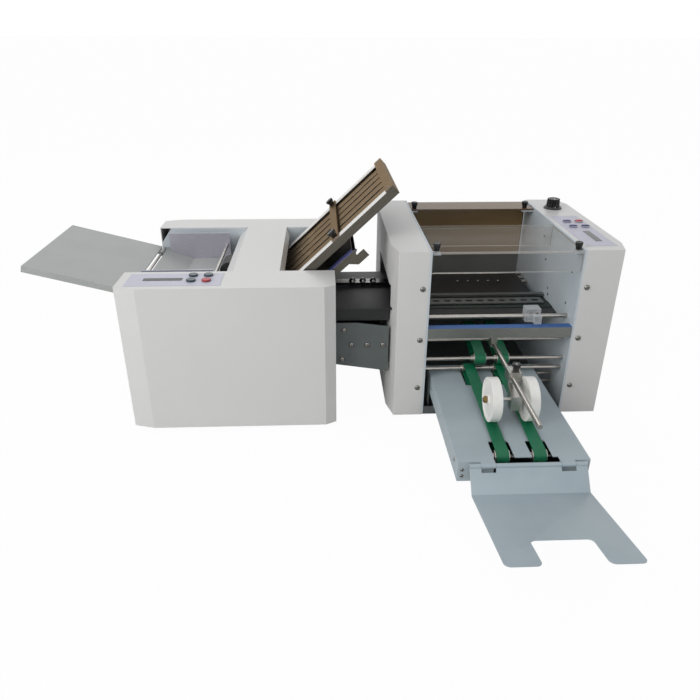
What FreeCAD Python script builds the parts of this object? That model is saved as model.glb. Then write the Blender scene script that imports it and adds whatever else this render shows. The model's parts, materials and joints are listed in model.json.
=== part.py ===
import FreeCAD, Part
import Sketcher
import math
import os
import re

# Paper folding machine: a sheet feeder with two fold plates, a bridge conveyor, and a
# cross fold unit with a belt delivery. X runs along the machine from the feed table to the
# cross fold unit, Y runs to the rear, Z is up. The origin is on the desk, under the middle
# of the machine's outline. Lengths are millimetres and angles are degrees.

# Driving dimensions

WHOLE = {
    "machine_length": 1260.0,
    "machine_depth": 1040.0,
    "sheet": 2.0,
    "frame_plate": 4.0,
    "foot_height": 12.0,
    "foot_radius": 14.0,
    "foot_inset": 34.0,
    "running_gap": 0.06,
    "clear_gap": 0.3,
    "cut_overrun": 5.0,
    "base_plate": 3.0,
    "base_lip_height": 18.0,
}

FEEDER = {
    "table_overhang": 218.0,
    "feeder_length": 440.4,
    "feeder_depth": 520.0,
    "feeder_height": 322.0,
    "feeder_front_depth": 101.0,
    "feeder_rear_depth": 80.0,
    "bevel_left": 44.0,
    "bevel_right": 22.8,
    "bevel_depth": 13.0,
    "hood_left_inset": 225.0,
    "hood_length": 99.0,
    "hood_slope_run": 22.0,
    "hood_slope_drop": 22.0,
    "hood_flange_run": 7.0,
    "hood_flange_drop": 22.0,
    "frame_end_inset": 3.0,
    "mouth_drop": 36.0,
    "mouth_run": 24.5,
}

FEED = {
    "ramp_rear_gap": 9.0,
    "table_thickness": 3.0,
    "table_slope": 14.8,
    "table_flange": 14.0,
    "table_hinge_inset": 8.0,
    "table_hinge_drop": 52.0,
    "hinge_pin_radius": 3.0,
    "hinge_knuckle_radius": 6.0,
    "hinge_knuckle_length": 24.0,
    "ramp_bend_inset": 85.0,
    "ramp_end_inset": 268.0,
    "ramp_drop": 72.0,
    "ramp_side_gap": 6.0,
    "feed_roller_radius": 22.0,
    "feed_roller_inset": 197.0,
    "feed_roller_width": 60.0,
    "feed_shaft_radius": 6.0,
    "feed_pad_gap": 0.5,
    "guide_rod_inset": 172.0,
    "guide_rod_rise": 34.0,
    "guide_rod_radius": 4.0,
    "guide_lead": 58.0,
    "guide_height": 66.0,
    "guide_sheet": 1.6,
    "guide_hub_radius": 8.0,
    "guide_hub_length": 18.0,
    "guide_foot": 28.0,
    "guide_edge_gap": 24.0,
}

FOLDING = {
    "roller_radius": 14.0,
    "roller_journal": 6.0,
    "roller_end_gap": 4.0,
    "roller_bank_inset": 284.0,
    "roller_bank_drop": 52.5,
    "roller_fan": 20.0,
    "pulley_radius": 16.0,
    "pulley_width": 10.0,
    "drive_pulley_gap": 5.0,
    "motor_radius": 34.0,
    "motor_length": 62.0,
    "motor_inset": 330.0,
    "motor_height": 110.0,
    "motor_shaft": 5.0,
    "motor_pulley_radius": 12.0,
    "drive_belt_thickness": 1.6,
    "fold_slope": 43.2,
    "plate_rear_gap": 20.0,
    "plate_edge_gap": 1.0,
    "upper_plate_length": 325.0,
    "upper_plate_depth": 18.0,
    "upper_plate_inset": 324.0,
    "upper_plate_drop": 47.2,
    "rail_width": 27.0,
    "rail_sheet": 2.0,
    "bar_width": 33.0,
    "bar_sheet": 3.0,
    "bar_drop": 4.0,
    "back_sheet": 1.5,
    "end_plate": 16.0,
    "end_plate_sheet": 4.0,
    "end_plate_rise": 3.0,
    "end_cap": 20.0,
    "stop_place": 155.0,
    "stop_width": 19.0,
    "stop_sheet": 4.0,
    "stop_finger_length": 7.0,
    "stop_finger_depth": 6.0,
    "stop_knob_radius": 9.5,
    "stop_knob_height": 13.0,
    "stop_stud_radius": 3.0,
    "stop_stud_height": 14.0,
    "stop_knob_edge": 16.0,
    "lower_plate_length": 160.0,
    "lower_plate_depth": 16.0,
    "lower_plate_drop": 43.0,
    "lower_plate_lead": 10.0,
    "hook_length": 22.0,
    "hook_height": 30.0,
    "hook_notch": 8.0,
    "hook_sheet": 3.0,
    "plate_rod_radius": 4.0,
    "plate_rod_place": 60.0,
}

BRIDGE = {
    "deck_sheet": 3.0,
    "deck_drop": 74.0,
    "deck_setback": 30.0,
    "deck_width": 236.0,
    "deck_reach": 78.0,
    "deck_skirt": 30.0,
    "deck_skirt_setback": 6.0,
    "bridge_side_sheet": 3.0,
    "bridge_side_lead": 2.0,
    "bridge_side_drop_a": 32.0,
    "bridge_side_drop_b": 41.0,
    "bridge_side_height_a": 99.0,
    "bridge_side_height_b": 108.0,
    "bridge_side_flat": 45.6,
    "ball_bar_setback": 148.0,
    "ball_bar_width": 26.0,
    "ball_bar_sheet": 6.0,
    "ball_bar_rise": 3.0,
    "ball_radius": 8.0,
    "ball_first": 43.0,
    "ball_pitch": 24.0,
    "marble_slot_length": 17.0,
    "marble_slot_width": 11.0,
    "marble_pitch": 26.0,
    "marble_strip_width": 32.0,
    "marble_strip_sheet": 3.0,
    "marble_strip_setback": 147.0,
    "marble_strip_drop": 41.0,
    "marble_strip_inset": 15.0,
    "marble_rail_gap": 14.0,
    "marble_rail_width": 12.0,
    "cross_band_sheet": 1.5,
    "cross_band_width": 36.0,
    "cross_band_lead": 17.0,
}

CROSS = {
    "cross_length": 486.0,
    "cross_rear_setback": 50.0,
    "cross_setback": 34.0,
    "cross_height": 382.0,
    "left_cover_width": 76.0,
    "right_cover_width": 91.2,
    "side_bevel_run": 13.0,
    "side_bevel_depth": 50.0,
    "window_margin": 10.0,
    "window_height": 62.0,
    "window_drop": 14.0,
    "mouth_lead": 11.0,
    "crossbar_depth": 20.0,
    "crossbar_height": 23.0,
    "crossbar_drop": 36.0,
    "block_rod_radius": 5.0,
    "block_rod_setback": 41.0,
    "block_rod_rise": 10.0,
    "thin_rod_radius": 3.0,
    "thin_rod_setback": 39.0,
    "thin_rod_drop": 21.0,
    "bed_plate_setback": 100.0,
    "bed_plate_width": 128.0,
    "bed_plate_drop": 47.0,
    "plate_back_lap": 8.0,
    "plate_back_left": 42.0,
    "plate_back_right": 24.0,
    "plate_back_width": 138.0,
    "plate_back_sheet": 3.0,
    "rear_rod_lead": 105.0,
    "rear_rod_drop": 54.0,
    "rear_rod_pitch": 30.0,
    "low_rod_setback": 76.0,
    "low_rod_rise": 18.0,
    "low_rod_pitch": 20.0,
    "tab_length": 16.0,
    "tab_width": 18.0,
    "tab_sheet": 4.0,
    "cover_acrylic": 4.0,
    "clear_setback": 2.0,
    "clear_depth": 198.0,
    "clear_side_gap": 2.0,
    "clear_front_lip": 44.0,
    "clear_rear_lip": 48.0,
    "clear_top_drop": 2.0,
    "tint_lead": 87.0,
    "tint_flange": 76.0,
    "tint_foot_lead": 8.0,
    "tint_foot_drop": 10.0,
    "stud_radius": 3.0,
    "stud_inset": 10.0,
    "far_stud_inset": 22.0,
    "far_tab_width": 30.0,
    "front_stud_setback": 14.0,
    "rear_stud_lead": 77.0,
    "cover_knob_radius": 8.0,
    "cover_knob_height": 16.0,
    "stud_hole_gap": 0.8,
    "acrylic_block_width": 32.0,
    "acrylic_block_depth": 26.0,
    "acrylic_block_height": 30.0,
    "acrylic_block_inset": 216.0,
    "acrylic_foot_height": 18.0,
    "acrylic_foot_depth": 12.0,
    "upper_shaft_setback": 26.0,
    "upper_shaft_rise": 37.6,
    "lower_shaft_setback": 30.0,
    "lower_shaft_rise": 11.5,
    "shaft_radius": 4.0,
    "upper_pulley_radius": 12.0,
    "lower_pulley_radius": 9.0,
    "back_shaft_setback": 156.0,
    "back_shaft_rise": 56.0,
    "belt_width": 24.0,
    "belt_thickness": 1.5,
    "belt_gap": 0.08,
    "upper_belt_inset": 123.0,
    "upper_belt_pitch": 51.0,
    "pulley_side": 2.0,
    "collar_radius": 7.0,
    "collar_length": 6.0,
    "screw_radius": 6.0,
    "screw_dome": 3.0,
    "screw_edge": 12.0,
    "screw_rise": 70.0,
    "screw_top_drop": 80.0,
}

DELIVERY = {
    "bed_inset": 15.0,
    "bed_right_inset": 55.8,
    "bed_rise": 90.0,
    "bed_depth_down": 42.0,
    "bed_sheet": 2.5,
    "bed_reach_share": 0.5192307692,
    "bed_back_setback": 66.0,
    "bed_belt_inset": 86.5,
    "bed_belt_pitch": 69.5,
    "bed_slot_width": 38.0,
    "bed_rear_slot_width": 32.0,
    "bed_slot_reach": 63.0,
    "bed_slot_corner": 5.0,
    "bed_mouth_depth": 12.0,
    "bed_mouth_height": 30.0,
    "bed_slot_setback": 6.0,
    "front_pulley_setback": 33.0,
    "front_pulley_drop": 13.0,
    "front_pulley_radius": 13.0,
    "bed_bracket_sheet": 4.0,
    "bed_bracket_depth": 44.0,
    "bed_bracket_setback": 60.0,
    "arm_radius": 5.0,
    "arm_inset": 145.0,
    "arm_drop": 15.0,
    "arm_overhang": 20.0,
    "arm_boss_width": 13.0,
    "arm_boss_height": 14.0,
    "bracket_setback": 40.0,
    "bracket_block_width": 25.0,
    "bracket_block_lead": 8.0,
    "bracket_knob_lead": 9.0,
    "bracket_link_drop": 22.0,
    "bracket_block_depth": 30.0,
    "bracket_block_height": 22.0,
    "bracket_arm_width": 20.0,
    "bracket_arm_sheet": 4.0,
    "bracket_knob_radius": 9.0,
    "bracket_knob_length": 13.0,
    "wheel_radius": 43.5,
    "wheel_width": 19.0,
    "wheel_reach_share": 0.27307692,
    "wheel_rise": 8.6,
    "wheel_a_reach": 43.0,
    "wheel_b_reach": 28.0,
    "wheel_hub_radius": 9.0,
    "wheel_hub_width": 21.0,
    "wheel_rim": 5.0,
    "wheel_web": 15.0,
    "axle_radius": 4.0,
    "axle_nut_radius": 7.0,
    "axle_nut_length": 6.0,
    "axle_end": 8.0,
    "tray_hinge_lead": 7.0,
    "tray_pin_radius": 2.0,
    "tray_knuckle_radius": 4.5,
    "tray_knuckle_length": 26.0,
    "tray_knuckle_inset": 21.0,
    "tray_left_inset": 19.0,
    "tray_right_inset": 8.5,
    "tray_sheet": 2.0,
    "tray_bend_lead": 34.0,
    "tray_bend_drop": 41.5,
    "tray_tip_drop": 1.0,
    "tray_notch_width": 99.0,
    "tray_notch_depth": 66.0,
    "tray_corner": 10.0,
    "tray_notch_corner": 10.0,
}

CONTROLS = {
    "overlay_sheet": 0.6,
    "feeder_overlay_left": 18.0,
    "feeder_overlay_length": 192.0,
    "feeder_overlay_front": 16.0,
    "feeder_overlay_depth": 72.0,
    "feeder_display_left": 50.0,
    "feeder_display_length": 79.0,
    "feeder_display_front": 46.0,
    "feeder_display_depth": 14.0,
    "feeder_button_left": 148.0,
    "feeder_button_front": 43.0,
    "feeder_button_pitch": 31.0,
    "button_radius": 9.5,
    "button_height": 3.0,
    "button_stem_radius": 4.0,
    "button_travel": 1.2,
    "button_stem": 8.0,
    "cross_overlay_inset": 18.0,
    "cross_overlay_width": 65.0,
    "cross_overlay_setback": 28.0,
    "cross_overlay_depth": 240.0,
    "cross_display_inset": 37.0,
    "cross_display_width": 14.0,
    "cross_display_setback": 61.0,
    "cross_display_depth": 75.0,
    "cross_button_inset": 32.0,
    "cross_button_setback": 172.0,
    "cross_button_pitch_x": 28.0,
    "cross_button_pitch_y": 42.0,
    "dial_inset": 50.0,
    "dial_lead": 90.0,
    "dial_skirt_radius": 22.0,
    "dial_skirt_height": 5.0,
    "dial_radius": 16.0,
    "dial_height": 24.0,
    "dial_shaft_radius": 4.0,
    "dial_shaft_length": 14.0,
    "inlet_width": 50.0,
    "inlet_height": 28.0,
    "inlet_depth": 24.0,
    "inlet_wall": 5.0,
    "inlet_left": 60.0,
    "inlet_low": 60.0,
    "switch_width": 14.0,
    "switch_height": 22.0,
    "switch_depth": 7.0,
    "switch_pin": 2.0,
    "switch_margin": 3.6,
    "switch_tilt": 8.0,
    "switch_left": 140.0,
}

DOC = FreeCAD.newDocument("paper_folding_machine")
X_AXIS = FreeCAD.Vector(1, 0, 0)
Y_AXIS = FreeCAD.Vector(0, 1, 0)
Z_AXIS = FreeCAD.Vector(0, 0, 1)
ORIGIN = FreeCAD.Vector(0, 0, 0)
QUARTER_TURN = 90
WORD = re.compile(r"[a-z][a-z0-9_]*")


def make_sheet(name, cells):
    sheet = DOC.addObject("Spreadsheet::Sheet", name)
    for row, (alias, text) in enumerate(cells.items(), start=1):
        sheet.set("A%d" % row, alias)
        sheet.set("B%d" % row, str(text))
        sheet.setAlias("B%d" % row, alias)
    return sheet


SIZES = {**WHOLE, **FEEDER, **FEED, **FOLDING, **BRIDGE, **CROSS, **DELIVERY, **CONTROLS}
SIZE_SHEET = make_sheet("sizes", SIZES)
PLACES = {}


def linked(text):
    """Point each word of a formula at the sheet that holds it."""

    def source(match):
        word = match.group()
        if word in SIZES:
            return "sizes." + word
        if word in PLACES:
            return "places." + word
        return word

    return WORD.sub(source, text)

# Places worked out from the driving dimensions

PLACES.update({
    "cross_right": "machine_length / 2",
    "cross_left": "cross_right - cross_length",
    "feeder_left": "table_overhang - machine_length / 2",
    "feeder_right": "feeder_left + feeder_length",
    "feeder_back": "machine_depth / 2",
    "feeder_front": "feeder_back - feeder_depth",
    "feeder_top": "foot_height + feeder_height",
    "bay_front": "feeder_front + feeder_front_depth + frame_plate",
    "bay_back": "feeder_back - feeder_rear_depth - frame_plate",
    "bay_middle": "(bay_front + bay_back) / 2",
    "cross_front": "feeder_front + cross_setback",
    "cross_top": "foot_height + cross_height",
    "cross_inner_left": "cross_left + left_cover_width",
    "cross_inner_right": "cross_right - right_cover_width",
    "chamber_left": "cross_inner_left + frame_plate",
    "chamber_right": "cross_inner_right - frame_plate",
    "floor_top": "foot_height + base_plate",
    "hood_left": "feeder_left + hood_left_inset",
    "table_hinge_x": "feeder_left + table_hinge_inset",
    "table_run": "table_hinge_x + machine_length / 2",
    "ramp_bend_x": "feeder_left + ramp_bend_inset",
    "ramp_start_x": "table_hinge_x + hinge_knuckle_radius + clear_gap + sheet",
    "guide_left_x": "ramp_bend_x - guide_lead",
    "ramp_end_x": "feeder_left + ramp_end_inset",
    "feed_roller_x": "feeder_left + feed_roller_inset",
    "guide_rod_x": "feeder_left + guide_rod_inset",
    "table_front": "bay_front + ramp_side_gap",
    "roller_pitch": "2 * roller_radius + clear_gap",
    "roller_1_x": "feeder_left + roller_bank_inset",
    "roller_2_x": "roller_1_x",
    "roller_3_x": "roller_2_x + roller_pitch * cos(roller_fan * 1 deg)",
    "roller_4_x": "roller_3_x + roller_pitch * cos(roller_fan * 1 deg)",
    "motor_x": "feeder_left + motor_inset",
    "upper_x": "feeder_left + upper_plate_inset",
    "lower_x": "upper_x + lower_plate_lead * cos(fold_slope * 1 deg) +"
                    " lower_plate_drop * sin(fold_slope * 1 deg)",
    "plates_front": "bay_front + plate_edge_gap",
    "deck_end": "cross_left + deck_reach",
    "clear_top": "cross_top - clear_top_drop",
    "tab_top": "clear_top - cover_acrylic",
    "feeder_overlay_top": "feeder_top + overlay_sheet",
    "cross_overlay_top": "cross_top + overlay_sheet",
    "acrylic_block_place": "chamber_left + acrylic_block_inset",
    "upper_belt_a": "chamber_left + upper_belt_inset",
    "upper_belt_b": "upper_belt_a + upper_belt_pitch",
    "bed_left": "chamber_left + bed_inset",
    "bed_width": "chamber_right - chamber_left - bed_inset - bed_right_inset",
    "bed_right": "bed_left + bed_width",
    "bed_belt_a": "bed_left + bed_belt_inset",
    "bed_belt_b": "bed_belt_a + bed_belt_pitch",
    "tray_width": "bed_width - tray_left_inset - tray_right_inset",
    "tray_left": "bed_left + tray_left_inset",
    "tray_right": "tray_left + tray_width",
    "tray_middle": "tray_left + tray_width / 2",
    "arm_place": "chamber_left + arm_inset",
    "wheel_a": "arm_place - wheel_a_reach",
    "wheel_b": "arm_place + wheel_b_reach",
    "plate_width": "bay_back - bay_front - plate_edge_gap - plate_rear_gap",
    "table_width": "bay_back - bay_front - ramp_side_gap - ramp_rear_gap",
    "cross_depth": "feeder_depth - cross_setback - cross_rear_setback",
    "cross_back": "cross_front + cross_depth",
    "deck_front": "cross_front + deck_setback",
    "deck_back": "deck_front + deck_width",
    "bridge_side_front": "deck_front - bridge_side_lead",
    "ball_bar_place": "deck_front + ball_bar_setback",
    "marble_strip_place": "cross_front + marble_strip_setback",
    "block_rod_place": "cross_front + block_rod_setback",
    "thin_rod_place": "cross_front + thin_rod_setback",
    "bed_plate_place": "cross_front + bed_plate_setback",
    "plate_back_place": "bed_plate_place + bed_plate_width - plate_back_lap",
    "rear_rod_place": "cross_back - rear_rod_lead",
    "low_rod_place": "cross_front + low_rod_setback",
    "clear_front": "cross_front + clear_setback",
    "tint_front": "cross_back - tint_lead",
    "tint_foot_place": "cross_back - tint_foot_lead",
    "front_stud_place": "cross_front + front_stud_setback",
    "rear_stud_place": "cross_back - rear_stud_lead",
    "upper_shaft_place": "cross_front + upper_shaft_setback",
    "lower_shaft_place": "cross_front + lower_shaft_setback",
    "back_shaft_place": "cross_front + back_shaft_setback",
    "bed_back": "cross_front + bed_back_setback",
    "bed_back_slot": "feeder_front + bed_slot_setback",
    "bed_bracket_back": "cross_front + bed_bracket_setback",
    "cross_overlay_front": "cross_front + cross_overlay_setback",
    "cross_display_front": "cross_front + cross_display_setback",
    "cross_button_front": "cross_front + cross_button_setback",
    "dial_place": "cross_back - dial_lead",
    "table_hinge_height": "feeder_top - table_hinge_drop",
    "ramp_start_z": "table_hinge_height + hinge_pin_radius",
    "ramp_level": "feeder_top - ramp_drop",
    "guide_left_z": "ramp_level + clear_gap + (ramp_start_z - ramp_level) * guide_lead /"
                    " (ramp_bend_x - ramp_start_x)",
    "feed_roller_z": "ramp_level + feed_roller_radius + feed_pad_gap",
    "guide_rod_z": "ramp_level + guide_rod_rise",
    "roller_bank_height": "feeder_top - roller_bank_drop",
    "roller_1_z": "roller_bank_height",
    "roller_2_z": "roller_1_z - roller_pitch",
    "roller_3_z": "roller_2_z - roller_pitch * sin(roller_fan * 1 deg)",
    "roller_4_z": "roller_3_z - roller_pitch * sin(roller_fan * 1 deg)",
    "upper_plate_height": "feeder_top - upper_plate_drop",
    "upper_z": "upper_plate_height",
    "lower_z": "upper_z + lower_plate_lead * sin(fold_slope * 1 deg) -"
                    " lower_plate_drop * cos(fold_slope * 1 deg)",
    "deck_top": "feeder_top - deck_drop",
    "bridge_side_top_a": "deck_top - bridge_side_drop_a",
    "bridge_side_top_b": "deck_top - bridge_side_drop_b",
    "bridge_side_low_a": "bridge_side_top_a - bridge_side_height_a",
    "bridge_side_low_b": "bridge_side_top_b - bridge_side_height_b",
    "marble_strip_height": "deck_top - marble_strip_drop",
    "crossbar_high": "deck_top - crossbar_drop",
    "crossbar_low": "crossbar_high - crossbar_height",
    "block_rod_height": "crossbar_high + block_rod_rise",
    "thin_rod_height": "crossbar_low - thin_rod_drop",
    "bed_plate_height": "deck_top - bed_plate_drop",
    "plate_back_height": "bed_plate_height + plate_back_sheet",
    "low_rod_height": "floor_top + low_rod_rise",
    "rear_rod_height": "deck_top - rear_rod_drop",
    "tint_foot_height": "deck_top - tint_foot_drop",
    "bed_top": "foot_height + bed_rise",
    "upper_shaft_height": "bed_top + upper_shaft_rise",
    "lower_shaft_height": "bed_top + lower_shaft_rise",
    "back_shaft_height": "bed_top + back_shaft_rise",
    "front_pulley_height": "bed_top - front_pulley_drop",
    "arm_height": "crossbar_low - arm_drop",
    "wheel_height": "bed_top + wheel_rise + wheel_radius",
    "tray_hinge_height": "bed_top - tray_knuckle_radius",
    "tray_bend_height": "bed_top - tray_bend_drop",
    "tray_tip_height": "bed_top - tray_tip_drop",
    "screw_low": "foot_height + screw_rise",
    "screw_pitch": "(cross_height - screw_rise - screw_top_drop) / 2",
    "front_reach": "feeder_front + machine_depth / 2",
    "bed_front": "feeder_front - front_reach * bed_reach_share",
    "front_pulley_place": "bed_front + front_pulley_setback",
    "arm_reach": "bed_front - arm_overhang",
    "wheel_place": "feeder_front - front_reach * wheel_reach_share",
    "bracket_place": "wheel_place + bracket_setback",
    "tray_hinge_place": "bed_front - tray_hinge_lead",
    "tray_bend_place": "tray_hinge_place - tray_bend_lead",
})
PLACE_SHEET = make_sheet("places", {name: "=" + linked(text) for name, text in PLACES.items()})
DOC.recompute()


def size(name):
    """The value of one named size or place."""
    if name in SIZES:
        return float(SIZE_SHEET.get(name))
    return float(PLACE_SHEET.get(name))


def bind(thing, path, text):
    thing.setExpression(path, linked(text))


def place(thing, at, axis=None, angle=None):
    """Bind a thing's placement to a point, and to a turn about one axis."""
    if axis is not None:
        thing.Placement = FreeCAD.Placement(ORIGIN, FreeCAD.Rotation(axis, QUARTER_TURN))
        if angle is not None:
            bind(thing, "Placement.Rotation.Angle", angle)
    for key, text in zip("xyz", at):
        bind(thing, "Placement.Base." + key, text)
    return thing


def box(at, dims, name="block"):
    thing = DOC.addObject("Part::Box", name)
    for key, text in zip(("Length", "Width", "Height"), dims):
        bind(thing, key, text)
    return place(thing, at)


TURN_TO = {"x": (Y_AXIS, 90), "y": (X_AXIS, -90), "z": (Z_AXIS, 0)}


def rod(at, radius, length, along="z", name="rod"):
    """A round bar from a point, along one axis."""
    thing = DOC.addObject("Part::Cylinder", name)
    bind(thing, "Radius", radius)
    bind(thing, "Height", length)
    axis, degrees = TURN_TO[along]
    thing.Placement = FreeCAD.Placement(ORIGIN, FreeCAD.Rotation(axis, degrees))
    for key, text in zip("xyz", at):
        bind(thing, "Placement.Base." + key, text)
    return thing


def cone(at, low, high, length, along="z", name="cone"):
    thing = DOC.addObject("Part::Cone", name)
    bind(thing, "Radius1", low)
    bind(thing, "Radius2", high)
    bind(thing, "Height", length)
    axis, degrees = TURN_TO[along]
    thing.Placement = FreeCAD.Placement(ORIGIN, FreeCAD.Rotation(axis, degrees))
    for key, text in zip("xyz", at):
        bind(thing, "Placement.Base." + key, text)
    return thing


def fused(label, parts):
    thing = DOC.addObject("Part::MultiFuse", label)
    thing.Label = label
    thing.Shapes = parts
    return thing


def grouped(label, parts):
    """Separate solids that share one node."""
    thing = DOC.addObject("Part::Compound", label)
    thing.Label = label
    thing.Links = parts
    return thing


def cut(label, base, tools):
    """One solid with other solids taken out of it."""
    thing = DOC.addObject("Part::Cut", label)
    thing.Label = label
    thing.Base = base
    if len(tools) == 1:
        thing.Tool = tools[0]
    else:
        thing.Tool = fused(label + "_cuts", tools)
    return thing


def shared(label, base, tool):
    """What two solids have in common."""
    thing = DOC.addObject("Part::Common", label)
    thing.Base = base
    thing.Tool = tool
    return thing


def outline(name, plane, corners, start, depth):
    """A flat outline on a plane, drawn as a sketch and padded along the plane's own axis.

    Corners are pairs of formulas. An xz outline is padded to the rear, a yz outline to
    the right and an xy outline upwards.
    """
    body = DOC.addObject("PartDesign::Body", name)
    flat = [f for f in body.Origin.OriginFeatures if f.Role == plane.upper() + "_Plane"][0]
    sketch = body.newObject("Sketcher::SketchObject", name + "_sketch")
    sketch.AttachmentSupport = [(flat, "")]
    sketch.MapMode = "FlatFace"
    count = len(corners)
    ring = [FreeCAD.Vector(math.cos(-turn), math.sin(-turn), 0) for turn in
            (2 * math.pi * index / count for index in range(count))]
    for index in range(count):
        sketch.addGeometry(Part.LineSegment(ring[index], ring[(index + 1) % count]), False)
    for index in range(count):
        sketch.addConstraint(Sketcher.Constraint("Coincident", index, 2, (index + 1) % count, 1))
    for index, corner in enumerate(corners):
        for kind, text, now in zip(("DistanceX", "DistanceY"), corner, ring[index]):
            number = sketch.addConstraint(Sketcher.Constraint(kind, -1, 1, index, 1, now))
            bind(sketch, "Constraints[%d]" % number, text)
    pad = body.newObject("PartDesign::Pad", name + "_pad")
    pad.Profile = sketch
    bind(pad, "Length", depth)
    pad.Reversed = plane == "xz"
    sketch.Visibility = False
    along = {"xy": "z", "xz": "y", "yz": "x"}[plane]
    bind(body, "Placement.Base." + along, start)
    return body


def tilt(thing, at, slope):
    """Raise a flat piece's far end about the Y axis."""
    return place(thing, at, FreeCAD.Vector(0, -1, 0), slope)


def rounded(label, base, radius, wanted):
    """Round the edges of a base that a test picks out."""
    DOC.recompute()
    thing = DOC.addObject("Part::Fillet", label)
    thing.Label = label
    thing.Base = base
    width = size(radius)
    thing.Edges = [(number, width, width)
                   for number, edge in enumerate(base.Shape.Edges, start=1) if wanted(edge)]
    return thing


def vertical(edge):
    box_of = edge.BoundBox
    return box_of.ZLength > box_of.XLength + box_of.YLength


PARTS = []


def keep(thing, label):
    """Give a finished sub-part its name, and list it for writing."""
    thing.Label = label
    PARTS.append(thing)
    return thing

# The feeder's covers


def feeder_cover(label, front, back, outer_sign, holes):
    """A folded sheet cover, open below and towards the frame, with its two corners bevelled."""
    near = "(%s)" % front
    far = "(%s)" % back

    def shape(name, inset, low, high):
        left = "feeder_left + %s" % inset
        right = "feeder_right - %s" % inset
        deep = "%s - (%s)" % (far, inset) if outer_sign > 0 else "%s + %s" % (near, inset)
        shy = "%s - bevel_depth" % far if outer_sign > 0 else "%s + bevel_depth" % near
        inner = near if outer_sign > 0 else far
        corners = [(left, inner), (left, shy), (left + " + bevel_left", deep),
                   (right + " - bevel_right", deep), (right, shy), (right, inner)]
        return outline(name, "xy", corners, low, high)

    outer = shape(label + "_outer", "0", "foot_height", "feeder_height")
    inner = shape(label + "_inner", "sheet", "foot_height - cut_overrun",
                  "feeder_height - sheet + cut_overrun")
    return cut(label, outer, [inner] + holes)


def feeder_covers():
    front = feeder_cover("cover_front", "feeder_front", "feeder_front + feeder_front_depth", -1,
                         button_holes("feeder"))
    keep(front, "cover_front")
    ears, bore = switch_ears()
    shell = feeder_cover("cover_rear_shell", "feeder_back - feeder_rear_depth", "feeder_back", 1,
                         rear_windows())
    keep(cut("cover_rear", fused("cover_rear_solid", [shell] + ears), [bore]), "cover_rear")


def hood():
    """The bent sheet across the middle: a flat top, a sloped lip and a dropped flange."""
    top = box(("hood_left", "feeder_front + feeder_front_depth", "feeder_top - sheet"),
              ("hood_length", "feeder_depth - feeder_front_depth - feeder_rear_depth", "sheet"))
    slope = outline("hood_slope", "xz", [
        ("hood_left", "feeder_top"),
        ("hood_left - hood_slope_run", "feeder_top - hood_slope_drop"),
        ("hood_left - hood_slope_run + sheet", "feeder_top - hood_slope_drop - sheet / 2"),
        ("hood_left + sheet", "feeder_top - sheet"),
    ], "bay_front + clear_gap", "bay_back - bay_front - 2 * clear_gap")
    flange = outline("hood_flange", "xz", [
        ("hood_left + hood_length", "feeder_top"),
        ("hood_left + hood_length + hood_flange_run", "feeder_top - hood_flange_drop"),
        ("hood_left + hood_length + hood_flange_run - sheet", "feeder_top - hood_flange_drop"),
        ("hood_left + hood_length - sheet", "feeder_top - sheet"),
    ], "bay_front + clear_gap", "bay_back - bay_front - 2 * clear_gap")
    keep(fused("hood", [top, slope, flange]), "hood")


# The feeder's frame and its cross rods


def journals():
    """Every round shaft that runs in the feeder's two frame plates."""
    holes = [("roller_%d_x" % number, "roller_%d_z" % number, "roller_journal") for number in (1, 2, 3, 4)]
    holes.append(("feed_roller_x", "feed_roller_z", "feed_shaft_radius"))
    return holes


def feeder_frames():
    plates = []
    for number, face in enumerate(("feeder_front + feeder_front_depth", "bay_back")):
        left = "feeder_left + frame_end_inset"
        right = "feeder_right - frame_end_inset"
        top = "feeder_top - sheet"
        shape = [
            (left, "floor_top"), (left, "feeder_top - mouth_drop"),
            (left + " + mouth_run", top), (right, top), (right, "floor_top"),
        ]
        plate = outline("feeder_plate_%d" % number, "xz", shape, face, "frame_plate")
        bores = [rod((x, face + " - cut_overrun", z), radius + " + running_gap",
                     "frame_plate + 2 * cut_overrun", "y") for x, z, radius in journals()]
        plates.append(cut("feeder_plate_bored_%d" % number, plate, bores))
    keep(grouped("side_frames_feeder", plates), "side_frames_feeder")


def between(place_x, place_z, radius):
    """A fixed rod from one feeder frame plate to the other."""
    return rod((place_x, "bay_front", place_z), radius, "bay_back - bay_front", "y")


UP = "sin(fold_slope * 1 deg)"
OUT = "cos(fold_slope * 1 deg)"


def along_plate(start, run, drop):
    """A point beside a fold plate: so far up its slope and so far square to it."""
    x = "%s_x + (%s) * %s + (%s) * %s" % (start, run, OUT, drop, UP)
    z = "%s_z + (%s) * %s - (%s) * %s" % (start, run, UP, drop, OUT)
    return x, z


def plate_rods():
    """Rods under the two fold plates, and the rods that their lower ends stand on."""
    rods = []
    for start in ("upper", "lower"):
        under = along_plate(start, "plate_rod_place", start + "_plate_depth + plate_rod_radius + clear_gap")
        foot = along_plate(start, "-plate_rod_radius - clear_gap", start + "_plate_depth / 2")
        rods.append(between(*under, "plate_rod_radius"))
        rods.append(between(*foot, "plate_rod_radius"))
    return rods


# The feed table and the feed bay


def hinge_shapes():
    """Where the feed table's two knuckles sit along its pin."""
    return ["table_front + table_flange + clear_gap",
            "table_front + table_width - table_flange - clear_gap - hinge_knuckle_length"]


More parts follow.
